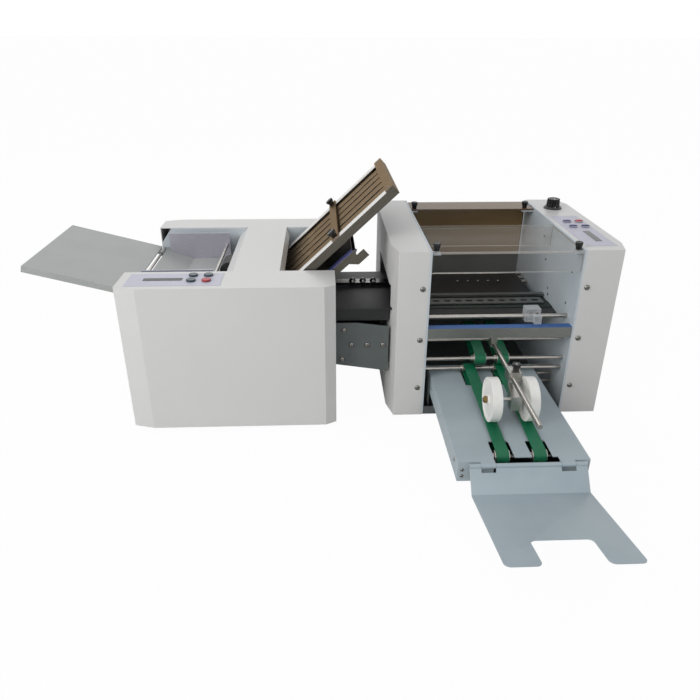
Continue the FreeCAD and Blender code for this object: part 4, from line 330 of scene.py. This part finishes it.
def merged_copy(node):
    """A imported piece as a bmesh, with its points merged and its flat faces joined."""
    bm = bmesh.new()
    bm.from_mesh(frame["nodes"][node].data)
    bmesh.ops.remove_doubles(bm, verts=bm.verts, dist=WELD)
    bmesh.ops.dissolve_limit(bm, angle_limit=FLAT_ENOUGH, verts=bm.verts, edges=bm.edges)
    return bm


def middle(face):
    """The middle of a face, in millimetres."""
    return face.calc_center_median() / MM


def skin(node, material, soft=0.5, steps=2, extras=()):
    """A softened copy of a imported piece. Extras are (material, test) pairs for some of its faces."""
    bm = merged_copy(node)
    for face in bm.faces:
        face.material_index = 0
        for number, (_, test) in enumerate(extras, start=1):
            if test(face):
                face.material_index = number
    materials = [material] + [extra for extra, _ in extras]
    piece = place_piece(node + "_skin", bm, materials, BODY_OF[node], soft, steps)
    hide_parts(node)


# %% [markdown]
# ## Covers, frames and bed
# The covers are folded from 2 mm sheet and painted, so their edges are small radii of about 1 mm.
# The frame plates are laser cut and only deburred, and get 0.5 mm.

# %% Painted pieces
for node in ("cover_front", "cover_rear", "cover_left", "cover_right"):
    skin(node, cover_paint, soft=0.9, steps=3)
skin("hood", cover_paint, soft=0.7, steps=3)
for node in ("side_frames_feeder", "side_frames_cross"):
    skin(node, frame_paint, soft=0.5)
skin("base_frame", base_paint, soft=0.4)
skin("delivery_bed", bed_paint, soft=0.7, steps=3)
skin("exit_tray", bed_paint, soft=0.5)
skin("feed_table", table_paint, soft=0.7, steps=3)
skin("feed_ramp", table_paint, soft=0.4)
skin("drive_motor", motor_paint, soft=1.5, steps=3)
print("painted skins done")

# %% [markdown]
# ## The fold plates
# Each fold plate is a tray of thin steel. The upper one has two white rails with printed scales, and
# brown-grey bars between them that end in a capped end piece. The lower one has a blue film on its
# front rail. Each copied face gets its finish by where it lies along the plate's own slope.

# %% Where things lie on the upper plate
UPPER = Vector((-88.0, 106.0, 286.8))
ALONG = Vector((math.cos(SLOPE), 0, math.sin(SLOPE)))
SQUARE = Vector((-math.sin(SLOPE), 0, math.cos(SLOPE)))
PLATE_LENGTH, PLATE_WIDTH, RAIL_WIDTH = 325.0, 310.0, 27.0
END_PIECE, BAR_DEPTH, SLACK = 20.0, 7.2, 0.5


def on_plate(face):
    """How far up the plate's slope, across it, and off its face a face is, in millimetres."""
    offset = middle(face) - UPPER
    return offset.dot(ALONG), offset.y, offset.dot(SQUARE)


def is_rail_face(face):
    run, across, off = on_plate(face)
    beside = across < RAIL_WIDTH or across > PLATE_WIDTH - RAIL_WIDTH
    short_of_end = run < PLATE_LENGTH - END_PIECE - 5
    return beside and abs(off) < SLACK and short_of_end and face.normal.dot(SQUARE) > 0.9


def is_bar(face):
    run, across, off = on_plate(face)
    between = RAIL_WIDTH < across < PLATE_WIDTH - RAIL_WIDTH
    return between and off > -BAR_DEPTH and run < PLATE_LENGTH - 4


def is_end(face):
    run, _, off = on_plate(face)
    return off > SLACK or run > PLATE_LENGTH - 4 - SLACK


rail_white = powder_coat("rail_white_enamel", ("E2E0DC", "E8E6E2"), 0.34)
rail_film = powder_coat("lower_rail_blue_film", ("5B5E9B", "6B6EAA"), 0.30)
skin("fold_plate_upper", plate_web, 0.3,
     extras=((rail_white, is_rail_face), (plate_bars, is_bar), (plate_bars, is_end)))
print("slope in degrees:", round(math.degrees(SLOPE), 1))

# %% The lower plate
LOWER = Vector((-51.275, 109.0, 262.3))


def is_lower_rail(face):
    offset = middle(face) - LOWER
    return offset.y < RAIL_WIDTH and offset.dot(SQUARE) > -SLACK and face.normal.dot(SQUARE) > 0.9


skin("fold_plate_lower", plate_web, 0.3, extras=((rail_film, is_lower_rail),))
skin("stop_bar", plate_bars, 0.4)
print("fold plates and stop bar done")

# %% [markdown]
# ## Rollers, shafts and rods
# A shaft is bright steel and the sleeve on it is rubber, so the faces are sorted by how far they are
# from the shaft's axis.


# %% Rollers and shafts
def far_from(place, height, radius, axis="y"):
    """A test for faces that reach outside a radius, round an axis through that place and height."""
    def test(face):
        points = [vertex.co / MM for vertex in face.verts]
        reach = [math.hypot((p.x if axis == "y" else p.y) - place, p.z - height) for p in points]
        return max(reach) > radius
    return test


def beyond(axis, value):
    """A test for faces whose middle is past a value along one axis, in millimetres."""
    return lambda face: getattr(middle(face), axis) > value


CHAMBER_LEFT, BELT_SHADE_HEIGHT = 224.0, 215.0
ROLLERS = {"feed_roller": (-215.0, 284.5, 8.0), "fold_roller_1": (-128.0, 281.5, 8.0),
           "fold_roller_2": (-128.0, 253.2, 8.0), "fold_roller_3": (-101.41, 243.52, 8.0),
           "fold_roller_4": (-74.81, 233.84, 8.0)}
for node, (x, z, radius) in ROLLERS.items():
    skin(node, steel_y, 0.4, extras=((roller_rubber, far_from(x, z, radius)),))
for node in ("upper_shaft", "rear_shaft", "lower_shaft", "front_pulleys"):
    skin(node, steel_x, 0.5)
skin("motor_pulley", steel_y, 0.4)
skin("steel_rods", steel_y, 0.4, extras=((steel_x, beyond("x", CHAMBER_LEFT)),))
# Belt faces above this height take the darker green: painted shade.
skin("green_belts", green_belt, 0.3, extras=((belt_painted_shade, beyond("z", BELT_SHADE_HEIGHT)),))
skin("drive_belt", black_belt, 0.3)
print("rollers:", len(ROLLERS))

# %% [markdown]
# ## The bridge and the inside of the cross fold unit
# The decks are black and low in gloss. The bridge's ball bar is dark phosphated steel with three
# bright balls, and the slotted strip in the cross fold unit is zinc plated. The crossbar in front
# still has its blue film on top.

# %% Decks, bars, guides and brackets
crossbar_film = powder_coat("crossbar_blue_film", ("1C4F8C", "275C9B"), 0.40)
bar_grey = worked_metal("phosphated_steel_bar", "222325", "1A1B1C", 0.42, ALONG_X)
strip_zinc = worked_metal("zinc_plated_strip", "8F9292", "787B7C", 0.38, ALONG_X)
crossbar_grey = worked_metal("rolled_steel_crossbar", "8B8D89", "777975", 0.46, ALONG_X)
ball_steel = worked_metal("polished_ball_steel", "8C8C8A", "777876", 0.16, ALL_WAYS, spacing=3.0)
BALLS = [Vector((71.4 + 24 * number, 212, 268)) for number in range(3)]
BALL_REACH, STRIP_START = 8.3, 238.0


def is_ball(face):
    return any((middle(face) - centre).length < BALL_REACH for centre in BALLS)


skin("sheet_decks", deck_paint, 0.5)
skin("marble_bars", bar_grey, 0.3,
     extras=((ball_steel, is_ball), (strip_zinc, beyond("x", STRIP_START))))
skin("front_crossbar", crossbar_grey, 0.6, extras=((crossbar_film, lambda face: face.normal.z > 0.9),))
skin("side_guide_front", guide_metal, 0.3)
skin("side_guide_rear", guide_metal, 0.3)
skin("wheel_bracket", steel_plain, 0.6)
skin("feet", foot_rubber, 1.5, steps=3)
skin("power_inlet", black_plastic, 0.6)
skin("power_switch", black_gloss, 0.5, steps=3)
print("balls:", len(BALLS))

# %% [markdown]
# ## The white press wheels
# The wheels are turned from white nylon, and their hubs are pressed on a steel axle with a brass nut
# at each end. A face that stays within 7.6 mm of the axle's middle line is steel.

# %% Press wheels
low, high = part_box("press_wheels")
axle = (low + high) / 2 / MM
AXLE_END, AXLE_REACH = 12.0, 7.6


def is_nut(face):
    return not low.x / MM + AXLE_END <= middle(face).x <= high.x / MM - AXLE_END


skin("press_wheels", steel_plain, 0.5, steps=3,
     extras=((brass, is_nut), (white_plastic, far_from(axle.y, axle.z, AXLE_REACH, "x"))))
print("axle at y and z:", round(axle.y, 1), round(axle.z, 1))

# %% [markdown]
# ## Acrylic covers
# A face that looks along the sheet's own thickness is an edge. On these bent sheets that is every
# face that is narrow, so the area picks them out. Each bend is rounded first, and its narrow faces
# catch the light in the same way. The brown panel's flat top takes a darker brown than its slope, as
# painted shade, and the slope's lighter brown is painted light for the shade under the top.


# %% Acrylic covers
def is_narrow(face, width):
    """Whether a face is narrower than a sheet's own thickness could make it, in millimetres."""
    return face.calc_area() / max(edge.calc_length() for edge in face.edges) < width * MM


def is_bend(edge, width):
    """Where two broad faces of a sheet meet at an angle."""
    broad = len(edge.link_faces) == 2 and not any(is_narrow(face, width) for face in edge.link_faces)
    return broad and edge.calc_length() > 100 * MM and edge.calc_face_angle(0.0) > 0.2


def sheet_skin(node, sheet, edge, lid, width=6.0, bend_radius=1.8):
    """A skin whose narrow faces and bends take the edge material, and its flat top the lid's. On the
    brown panel the lid is a darker brown, painted shade.
    """
    bm = merged_copy(node)
    bends = [line for line in bm.edges if is_bend(line, width)]
    bmesh.ops.bevel(bm, geom=bends, offset=bend_radius * MM, offset_type="OFFSET", affect="EDGES",
                    segments=2, profile=0.5, material=-1)
    for face in bm.faces:
        face.normal_update()
        face.material_index = 1 if is_narrow(face, width) else 2 if face.normal.z > 0.9 else 0
    piece = place_piece(node + "_skin", bm, [sheet, edge, lid], BODY_OF[node], 0.4, 2)
    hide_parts(node)
    print(node, "bends:", len(bends))


sheet_skin("clear_cover", clear_sheet, clear_edge, clear_sheet)
# The brown panel's flat top takes the darker brown as painted shade, and its slope the lighter brown as
# painted light.
sheet_skin("tinted_panel", brown_slope_painted_light, brown_edge, brown_top_painted_shade)
skin("clamp_block", block_acrylic, 0.8, steps=3)
print("acrylic skins: 3")

# %% [markdown]
# ## Fluted knobs
# The knobs are moulded phenolic with shallow flutes for the fingers. A circle of points is pushed in
# and out to make the flutes, then extruded up, rounded over at the top and dished a little.


# %% A fluted grip
def fluted_grip(radius, height, lobes, depth, waist=1.0, foot=1.0):
    """A knob that stands on its face at the origin and points up, in millimetres."""
    bm = bmesh.new()
    ring = bmesh.ops.create_circle(bm, segments=lobes * 6, radius=radius * foot * MM, cap_ends=True)
    for point in ring["verts"]:
        turn = math.atan2(point.co.y, point.co.x) * lobes
        dip = 1 - depth * (0.5 - 0.5 * math.cos(turn)) ** 2
        point.co.x *= dip
        point.co.y *= dip
    face = ring["verts"][0].link_faces[0]
    for lift, spread in ((0.30, foot), (0.48, 0.3 * foot + 0.7), (0.84, waist), (0.94, 0.96),
                         (1.0, 0.88), (1.0, 0.62), (0.95, 0.55)):
        grown = bmesh.ops.extrude_discrete_faces(bm, faces=[face])["faces"][0]
        reach = max(point.co.to_2d().length for point in grown.verts)
        factor = radius * MM * spread / reach
        bmesh.ops.scale(bm, vec=(factor, factor, 1), verts=grown.verts)
        for point in grown.verts:
            point.co.z = lift * height * MM
        face = grown
    bmesh.ops.recalc_face_normals(bm, faces=bm.faces)
    return bm


def stand(bm, at, up=(0, 0, 1)):
    """Turn a shape's own up to a direction, and put its foot at a place in millimetres."""
    turn = Vector((0, 0, 1)).rotation_difference(Vector(up)).to_matrix().to_4x4()
    bm.transform(Matrix.Translation(Vector(at) * MM) @ turn)
    return bm


UPRIGHT = Vector((0, 0, 1))
KNOBS = {"knob_front_left": UPRIGHT, "knob_front_right": UPRIGHT, "knob_rear_left": UPRIGHT,
         "knob_rear_right": UPRIGHT, "stop_knob_front": SQUARE, "stop_knob_rear": SQUARE,
         "bracket_knob": UPRIGHT}
HEIGHTS = {"stop_knob_front": 13.0, "stop_knob_rear": 13.0, "bracket_knob": 13.0}
RADII = {"stop_knob_front": 9.5, "stop_knob_rear": 9.5, "bracket_knob": 9.0}
COVER_KNOB_RADIUS = 8.0
for node, up in KNOBS.items():
    low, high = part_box(node)
    height = HEIGHTS.get(node, (high - low).z / MM)
    at = (low + high) / 2 / MM - up * height / 2
    radius = RADII.get(node, COVER_KNOB_RADIUS)
    knob = place_piece(node + "_grip", stand(fluted_grip(radius, height, 10, 0.18, 1.0, 0.72), at, up),
                       [black_gloss], BODY_OF[node], 0.35)
    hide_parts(node)
print("knobs:", len(KNOBS))

# %% [markdown]
# ## The speed dial
# The dial has a wide skirt with a moulded step, a fluted grip and a white line that points to its
# setting. The line is a raised bar on the grip's top, with a short mark in line with it on the skirt.

# %% Speed dial
DIAL = (580.0, 380.0, 394.3)
skirt = bmesh.new()
rim = bmesh.ops.create_circle(skirt, segments=72, radius=22 * MM, cap_ends=True)
top = rim["verts"][0].link_faces[0]
for lift, radius in ((1.2, 22), (4.2, 19.8), (5.0, 19.2), (5.0, 15.5)):
    grown = bmesh.ops.extrude_discrete_faces(skirt, faces=[top])["faces"][0]
    for point in grown.verts:
        flat = point.co.to_2d().normalized() * radius * MM
        point.co = Vector((flat.x, flat.y, lift * MM))
    top = grown
bmesh.ops.recalc_face_normals(skirt, faces=skirt.faces)
dial_body, dial_slot = BODY_OF["dial_knob"], SLOT_OF["dial_knob"]
base = place_piece("dial_skirt", stand(skirt, DIAL), [black_plastic], dial_body, 0.3)
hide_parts("dial_knob")
grip = stand(fluted_grip(16.0, 24.0, 14, 0.14, 0.94), DIAL)
place_piece("dial_grip", grip, [black_gloss], dial_body, 0.3)
for name, size, at in (("dial_pointer", (1.6, 14, 0.6), (580.0, 372.4, 418.0)),
                       ("dial_skirt_mark", (2.2, 4.5, 0.5), (580.0, 362.6, 399.3))):
    mark = bmesh.new()
    bmesh.ops.create_cube(mark, size=1.0)
    bmesh.ops.scale(mark, vec=Vector(size) * MM, verts=mark.verts)
    place_piece(name, stand(mark, at), [pointer_white], dial_body, 0.15)
print("dial stands at:", DIAL)

# %% [markdown]
# ## Screws
# The visible fasteners are domed socket screws. One bmesh starts as a circle, is drawn in ring by
# ring to a dome, and ends in a hexagonal socket that is pushed down. Every screw is a copy of it.


# %% Domed socket screws
def domed_screw(radius, height):
    """A dome with a hexagonal socket, standing on its face and pointing up, in millimetres."""
    bm = bmesh.new()
    ring = bmesh.ops.create_circle(bm, segments=24, radius=radius * MM, cap_ends=True)
    face = ring["verts"][0].link_faces[0]
    socket = 0.42
    for lift, spread in ((0.18, 1.0), (0.55, 0.9), (0.85, 0.72), (1.0, 0.5), (1.0, socket),
                         (0.45, socket)):
        grown = bmesh.ops.extrude_discrete_faces(bm, faces=[face])["faces"][0]
        for point in grown.verts:
            turn = math.atan2(point.co.y, point.co.x)
            hexed = math.cos(math.pi / 6) / math.cos((turn % (math.pi / 3)) - math.pi / 6)
            reach = radius * spread * (hexed if spread == socket else 1.0)
            point.co = Vector((math.cos(turn) * reach, math.sin(turn) * reach, lift * height)) * MM
        face = grown
    bmesh.ops.recalc_face_normals(bm, faces=bm.faces)
    return bm


def screw_set(name, places, radius, height, body, replaced=None):
    """Several screws as one piece."""
    whole = bpy.data.meshes.new("join")
    joined = bmesh.new()
    for at, up in places:
        one = stand(domed_screw(radius, height), at, up)
        one.to_mesh(whole)
        one.free()
        joined.from_mesh(whole)
    bpy.data.meshes.remove(whole)
    piece = place_piece(name, joined, [screw_steel], body)
    if replaced:
        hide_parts(replaced)


BACKWARD, FORWARD = (0, 1, 0), (0, -1, 0)
CROSS_FRONT, CROSS_REAR = 34, 470
BRIDGE_FRONT, BRIDGE_LEFT, BRIDGE_LENGTH, BRIDGE_FOOT, BRIDGE_HEIGHT = 62, 28.4, 115.6, 129, 99
fixings = []
for x in (208.0, 550.8):
    for z in (82.0, 198.0, 314.0):
        fixings += [((x, CROSS_FRONT, z), FORWARD), ((x, CROSS_REAR, z), BACKWARD)]
for share_x, share_z in ((0.16, 0.83), (0.30, 0.475), (0.60, 0.47), (0.90, 0.465), (0.12, 0.12)):
    along, rise = BRIDGE_LEFT + share_x * BRIDGE_LENGTH, BRIDGE_FOOT + share_z * BRIDGE_HEIGHT
    fixings.append(((along, BRIDGE_FRONT, rise), FORWARD))
screw_set("cover_screws", fixings, 6.0, 3.0, BODY_OF["screws"], "screws")
print("screws:", len(fixings))

# %% Small screws on the upper plate and the bed
LEFTWARD, RIGHTWARD = (-1, 0, 0), (1, 0, 0)
END_PIECE_RISE = 3
rail_screws = []
for run, rise in ((14, 0), (PLATE_LENGTH - END_PIECE / 2, END_PIECE_RISE)):
    for edge in (RAIL_WIDTH / 2, PLATE_WIDTH - RAIL_WIDTH / 2):
        rail_screws.append((UPPER + run * ALONG + Vector((0, edge, 0)) + rise * SQUARE, SQUARE))
screw_set("rail_screws", rail_screws, 2.6, 1.4, BODY_OF["fold_plate_upper"])
bed_low, bed_high = (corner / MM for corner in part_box("delivery_bed"))
BED_FRONT = -270.0
bed_screws = [((x, y, 86), facing) for x, facing in ((bed_low.x, LEFTWARD), (bed_high.x, RIGHTWARD))
              for y in (-240, 20)]
bed_screws += [((x, BED_FRONT, z), FORWARD) for x in (bed_low.x + 8, bed_high.x - 8) for z in (72, 85)]
screw_set("bed_side_screws", bed_screws, 3.4, 1.8, BODY_OF["delivery_bed"])
print("rail screws:", len(rail_screws), "bed screws:", len(bed_screws))

# %% Small screws inside the cross fold unit
DECK_STEP, INNER_WALL, BLOCK_FRONT = 222, 534.8, 62
deck_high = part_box("sheet_decks")[1].y / MM
deck_screws = [((344 + 26 * number, deck_high - 62, DECK_STEP), (0, 0, 1)) for number in range(5)]
screw_set("plate_screws", deck_screws, 3.6, 1.8, BODY_OF["sheet_decks"])
wall_places = ((83, 331), (92, 257), (250, 304), (210, 247), (204, 233), (279, 352))
wall_screws = [((INNER_WALL, y, z), LEFTWARD) for y, z in wall_places]
screw_set("wall_screws", wall_screws, 3.0, 1.6, BODY_OF["side_frames_cross"])
block_screws = [((x, BLOCK_FRONT, 246), FORWARD) for x in (449, 464)]
screw_set("clamp_screws", block_screws, 2.6, 1.6, BODY_OF["clamp_block"])
print("deck screws:", len(deck_screws), "wall screws:", len(wall_screws))

# %% [markdown]
# ## Scales on the rails
# Both rails carry a printed millimetre scale. The lines are thin raised ink: a tick every 5 mm, and a
# longer red or blue one every 25 mm. They are plain marks with no numbers, and none are under the
# stop bar.

# %% Rail scales
ink_black = moulded("screen_ink_black", "2A2A2C", "323234", 0.5)
ink_red = moulded("screen_ink_red", "B3423A", "BB4A42", 0.5)
ink_blue = moulded("screen_ink_blue", "3A6FA8", "4277B0", 0.5)
TICK_STEP, STOP_BAR_RUN, INNER_ENDS = 5.0, (145, 181), 21.5
scale = bmesh.new()
for side in (0, 1):
    for tick in range(8, 60):
        run = tick * TICK_STEP
        if STOP_BAR_RUN[0] < run < STOP_BAR_RUN[1]:
            continue
        long_tick = tick % 5 == 0
        reach = 7.0 if long_tick else 3.5
        across = INNER_ENDS - reach / 2 if side == 0 else PLATE_WIDTH - INNER_ENDS + reach / 2
        at = UPPER + run * ALONG + Vector((0, across, 0)) + 0.05 * SQUARE
        one = bmesh.ops.create_cube(scale, size=1.0)["verts"]
        bmesh.ops.scale(scale, vec=(0.9, reach, 0.12), verts=one)
        bmesh.ops.rotate(scale, verts=one, matrix=Matrix.Rotation(-SLOPE, 3, "Y"))
        bmesh.ops.translate(scale, vec=at, verts=one)
        for face in {face for point in one for face in point.link_faces}:
            face.material_index = (1 + tick % 2) if long_tick else 0
bmesh.ops.scale(scale, vec=(MM, MM, MM), verts=scale.verts)
print("scale faces:", len(scale.faces))
place_piece("rail_scales", scale, [ink_black, ink_red, ink_blue], BODY_OF["fold_plate_upper"],
            smooth=False)

# %% [markdown]
# ## Control panels and buttons
# The overlays are printed film with a raised edge, and the display windows are dark. The feeder's
# buttons are shallow round domes. The cross unit's are oval domes, each on a pale round rim.

# %% Overlays and displays
FEEDER_FILM_TOP, CROSS_FILM_TOP = 334.65, 394.65


def is_display(face):
    point = middle(face)
    return point.z > (FEEDER_FILM_TOP if point.x < 0 else CROSS_FILM_TOP)


skin("control_panels", overlay_film, 0.15, extras=((display_glass, is_display),))
print("overlays done")

# %% Buttons
def button_cap(length, width, height):
    """A shallow dome on an oval foot, standing at the origin, in millimetres."""
    bm = bmesh.new()
    ring = bmesh.ops.create_circle(bm, segments=48, radius=MM, cap_ends=True)
    top = ring["verts"][0].link_faces[0]
    bmesh.ops.scale(bm, vec=(length / 2, width / 2, 1), verts=bm.verts)
    for lift, spread in ((0.45, 1.0), (0.75, 0.96), (0.92, 0.85), (0.98, 0.65), (1.0, 0.35)):
        top = bmesh.ops.extrude_discrete_faces(bm, faces=[top])["faces"][0]
        for point in top.verts:
            flat = Vector((point.co.x / length, point.co.y / width)).normalized() * spread / 2
            point.co = Vector((flat.x * length, flat.y * width, lift * height)) * MM
    bmesh.ops.recalc_face_normals(bm, faces=bm.faces)
    return bm


ROUND, OVAL, CAP_HEIGHT, RIM_HEIGHT = (19.0, 19.0), (18.6, 11.0), 3.0, 0.7
for unit, red_one, other, size in (("feeder", 2, dark_button, ROUND), ("cross", 3, blue_button, OVAL)):
    for number in range(1, 5):
        node = "%s_button_%d" % (unit, number)
        low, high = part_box(node)
        top = Vector(((low.x + high.x) / 2, (low.y + high.y) / 2, high.z)) / MM
        at = top - Vector((0, 0, CAP_HEIGHT))
        colour = red_button if number == red_one else other
        dome = stand(button_cap(*size, CAP_HEIGHT), at)
        cap = place_piece(node + "_cap", dome, [colour], BODY_OF[node])
        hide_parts(node)
        if unit == "cross":
            oval = stand(button_cap(*ROUND, RIM_HEIGHT), at)
            place_piece(node + "_rim", oval, [overlay_film], BODY_OF[node])
print("buttons done")

# %% [markdown]
# ## Inlet pins
# The mains inlet is a moulded socket with three flat pins.

# %% Inlet pins
pins = bmesh.new()
for x, z in ((-327, 78), (-337, 70), (-317, 70)):
    one = bmesh.ops.create_cube(pins, size=1.0)["verts"]
    bmesh.ops.scale(pins, vec=(2 * MM, 10 * MM, 4.5 * MM), verts=one)
    bmesh.ops.translate(pins, vec=Vector((x, 513.5, z)) * MM, verts=one)
place_piece("inlet_pins", pins, [steel_plain], BODY_OF["power_inlet"], 0.4)
print("pins: 3")

# %% [markdown]
# ## Holes in the frame plates
# The feeder's frame plates are pierced with small round holes for screws and springs that this
# machine leaves open. Each is a flat dark disc, just clear of the paint: painted shade for the inside
# of the hole.

# %% Open holes
# A dark disc in each hole: painted shade.
hole_painted_shade = moulded("unlit_hole", "0C0C0D", "101011", 0.8)
HOLES = ((-60, 300, 3.2), (-40, 286, 3.2), (-52, 262, 2.4), (-350, 298, 2.4), (-188, 310, 2.4),
         (-20, 300, 4.0), (-20, 270, 2.4))
OFF_THE_PAINT = 0.08
holes = bmesh.new()
for y, facing in ((109.0, 1), (436.0, -1)):
    for x, z, radius in HOLES:
        one = bmesh.ops.create_circle(holes, segments=24, radius=radius * MM, cap_ends=True)["verts"]
        bmesh.ops.rotate(holes, verts=one, matrix=Matrix.Rotation(-facing * math.pi / 2, 3, "X"))
        bmesh.ops.translate(holes, vec=Vector((x, y + OFF_THE_PAINT * facing, z)) * MM, verts=one)
place_piece("frame_holes", holes, [hole_painted_shade], BODY_OF["side_frames_feeder"],
            smooth=False)
print("holes:", 2 * len(HOLES))

# %% [markdown]
# ## Floor, light and camera
# The floor is a pale sheet that keeps the machine's soft shadow. Seen by the camera it is lifted
# towards white, and so is the world, while the lamps stay at the level at which paint looks as written.

# %% Floor
LIFT_TO_WHITE, FLOOR_REACH = 0.97, 90
floor_white, floor_shader = new_material("studio_floor", "E6E6E4", 0.7)
nodes = floor_white.node_tree
seen = add(floor_white, "ShaderNodeLightPath")
glow = add(floor_white, "ShaderNodeEmission", Color=rgb("FFFFFF"), Strength=1.0)
shown = add(floor_white, "ShaderNodeMath",
            {0: seen.outputs["Is Camera Ray"], 1: seen.outputs["Is Transmission Ray"]},
            operation="MAXIMUM")
share = add(floor_white, "ShaderNodeMath", {0: shown.outputs[0]}, operation="MULTIPLY")
share.inputs[1].default_value = LIFT_TO_WHITE
mixed = add(floor_white, "ShaderNodeMixShader", {0: share.outputs[0], 1: floor_shader.outputs[0],
                                                 2: glow.outputs[0]})
nodes.links.new(mixed.outputs[0], nodes.nodes["Material Output"].inputs["Surface"])
ground = bmesh.new()
bmesh.ops.create_grid(ground, x_segments=1, y_segments=1, size=FLOOR_REACH)
floor_mesh = bpy.data.meshes.new("studio_floor")
ground.to_mesh(floor_mesh)
ground.free()
floor = bpy.data.objects.new("studio_floor", floor_mesh)
floor_mesh.materials.append(floor_white)
bpy.context.scene.collection.objects.link(floor)
print("floor is lifted by", LIFT_TO_WHITE)

# %% World
world = bpy.data.worlds.new("studio")
bpy.context.scene.world = world
world.use_nodes = True
for node in list(world.node_tree.nodes):
    world.node_tree.nodes.remove(node)
path = add(world, "ShaderNodeLightPath")
room = add(world, "ShaderNodeBackground", Color=rgb("F2F4F8"), Strength=0.55)
white = add(world, "ShaderNodeBackground", Color=rgb("FFFFFF"), Strength=1.0)
direct = add(world, "ShaderNodeMath",
             {0: path.outputs["Is Camera Ray"], 1: path.outputs["Is Glossy Ray"]},
             operation="MAXIMUM")
shown_white = add(world, "ShaderNodeMath",
                  {0: direct.outputs[0], 1: path.outputs["Is Transmission Ray"]},
                  operation="MAXIMUM")
chosen = add(world, "ShaderNodeMixShader",
             {0: shown_white.outputs[0], 1: room.outputs[0], 2: white.outputs[0]})
add(world, "ShaderNodeOutputWorld", {0: chosen.outputs[0]})
print("world nodes:", len(world.node_tree.nodes))


# %% Lamps
def soft_box(name, at, size_m, watts, aim=(0, 0, 0.25)):
    """A large square lamp that looks at a point."""
    lamp = bpy.data.lights.new(name, "AREA")
    lamp.size = size_m
    lamp.energy = watts
    thing = bpy.data.objects.new(name, lamp)
    thing.location = at
    thing.rotation_euler = (Vector(aim) - Vector(at)).to_track_quat("-Z", "Y").to_euler()
    bpy.context.scene.collection.objects.link(thing)


soft_box("window_light", (-2.5, -1.9, 2.1), 2.2, 62)
soft_box("front_fill", (0.2, -3.4, 1.4), 2.4, 3)
soft_box("rear_rim", (-0.4, 2.6, 2.4), 1.8, 14)
print("lamps: 3")

# %% Camera, solved from the machine's straight edges
PITCH, YAW, ROLL = math.radians(26.36), math.radians(-2.59), math.radians(0.28)
EYE = (0.00284, -1.20192, 0.79062)
level_right = Vector((math.cos(YAW), math.sin(YAW), 0))
level_ahead = Vector((-math.sin(YAW), math.cos(YAW), 0))
ahead = level_ahead * math.cos(PITCH) - Vector((0, 0, math.sin(PITCH)))
above = level_right.cross(ahead)
right = level_right * math.cos(ROLL) + above * math.sin(ROLL)
above = above * math.cos(ROLL) - level_right * math.sin(ROLL)
lens = bpy.data.cameras.new("photo_camera")
lens.lens = 33.19
lens.sensor_width = 36.0
lens.sensor_fit = "HORIZONTAL"
camera = bpy.data.objects.new("photo_camera", lens)
axes = Matrix((right, above, -ahead)).transposed().to_4x4()
camera.matrix_world = Matrix.Translation(EYE) @ axes
bpy.context.scene.collection.objects.link(camera)
bpy.context.scene.camera = camera
bpy.context.scene.view_settings.view_transform = "Standard"
print("lens in millimetres:", round(lens.lens, 2))
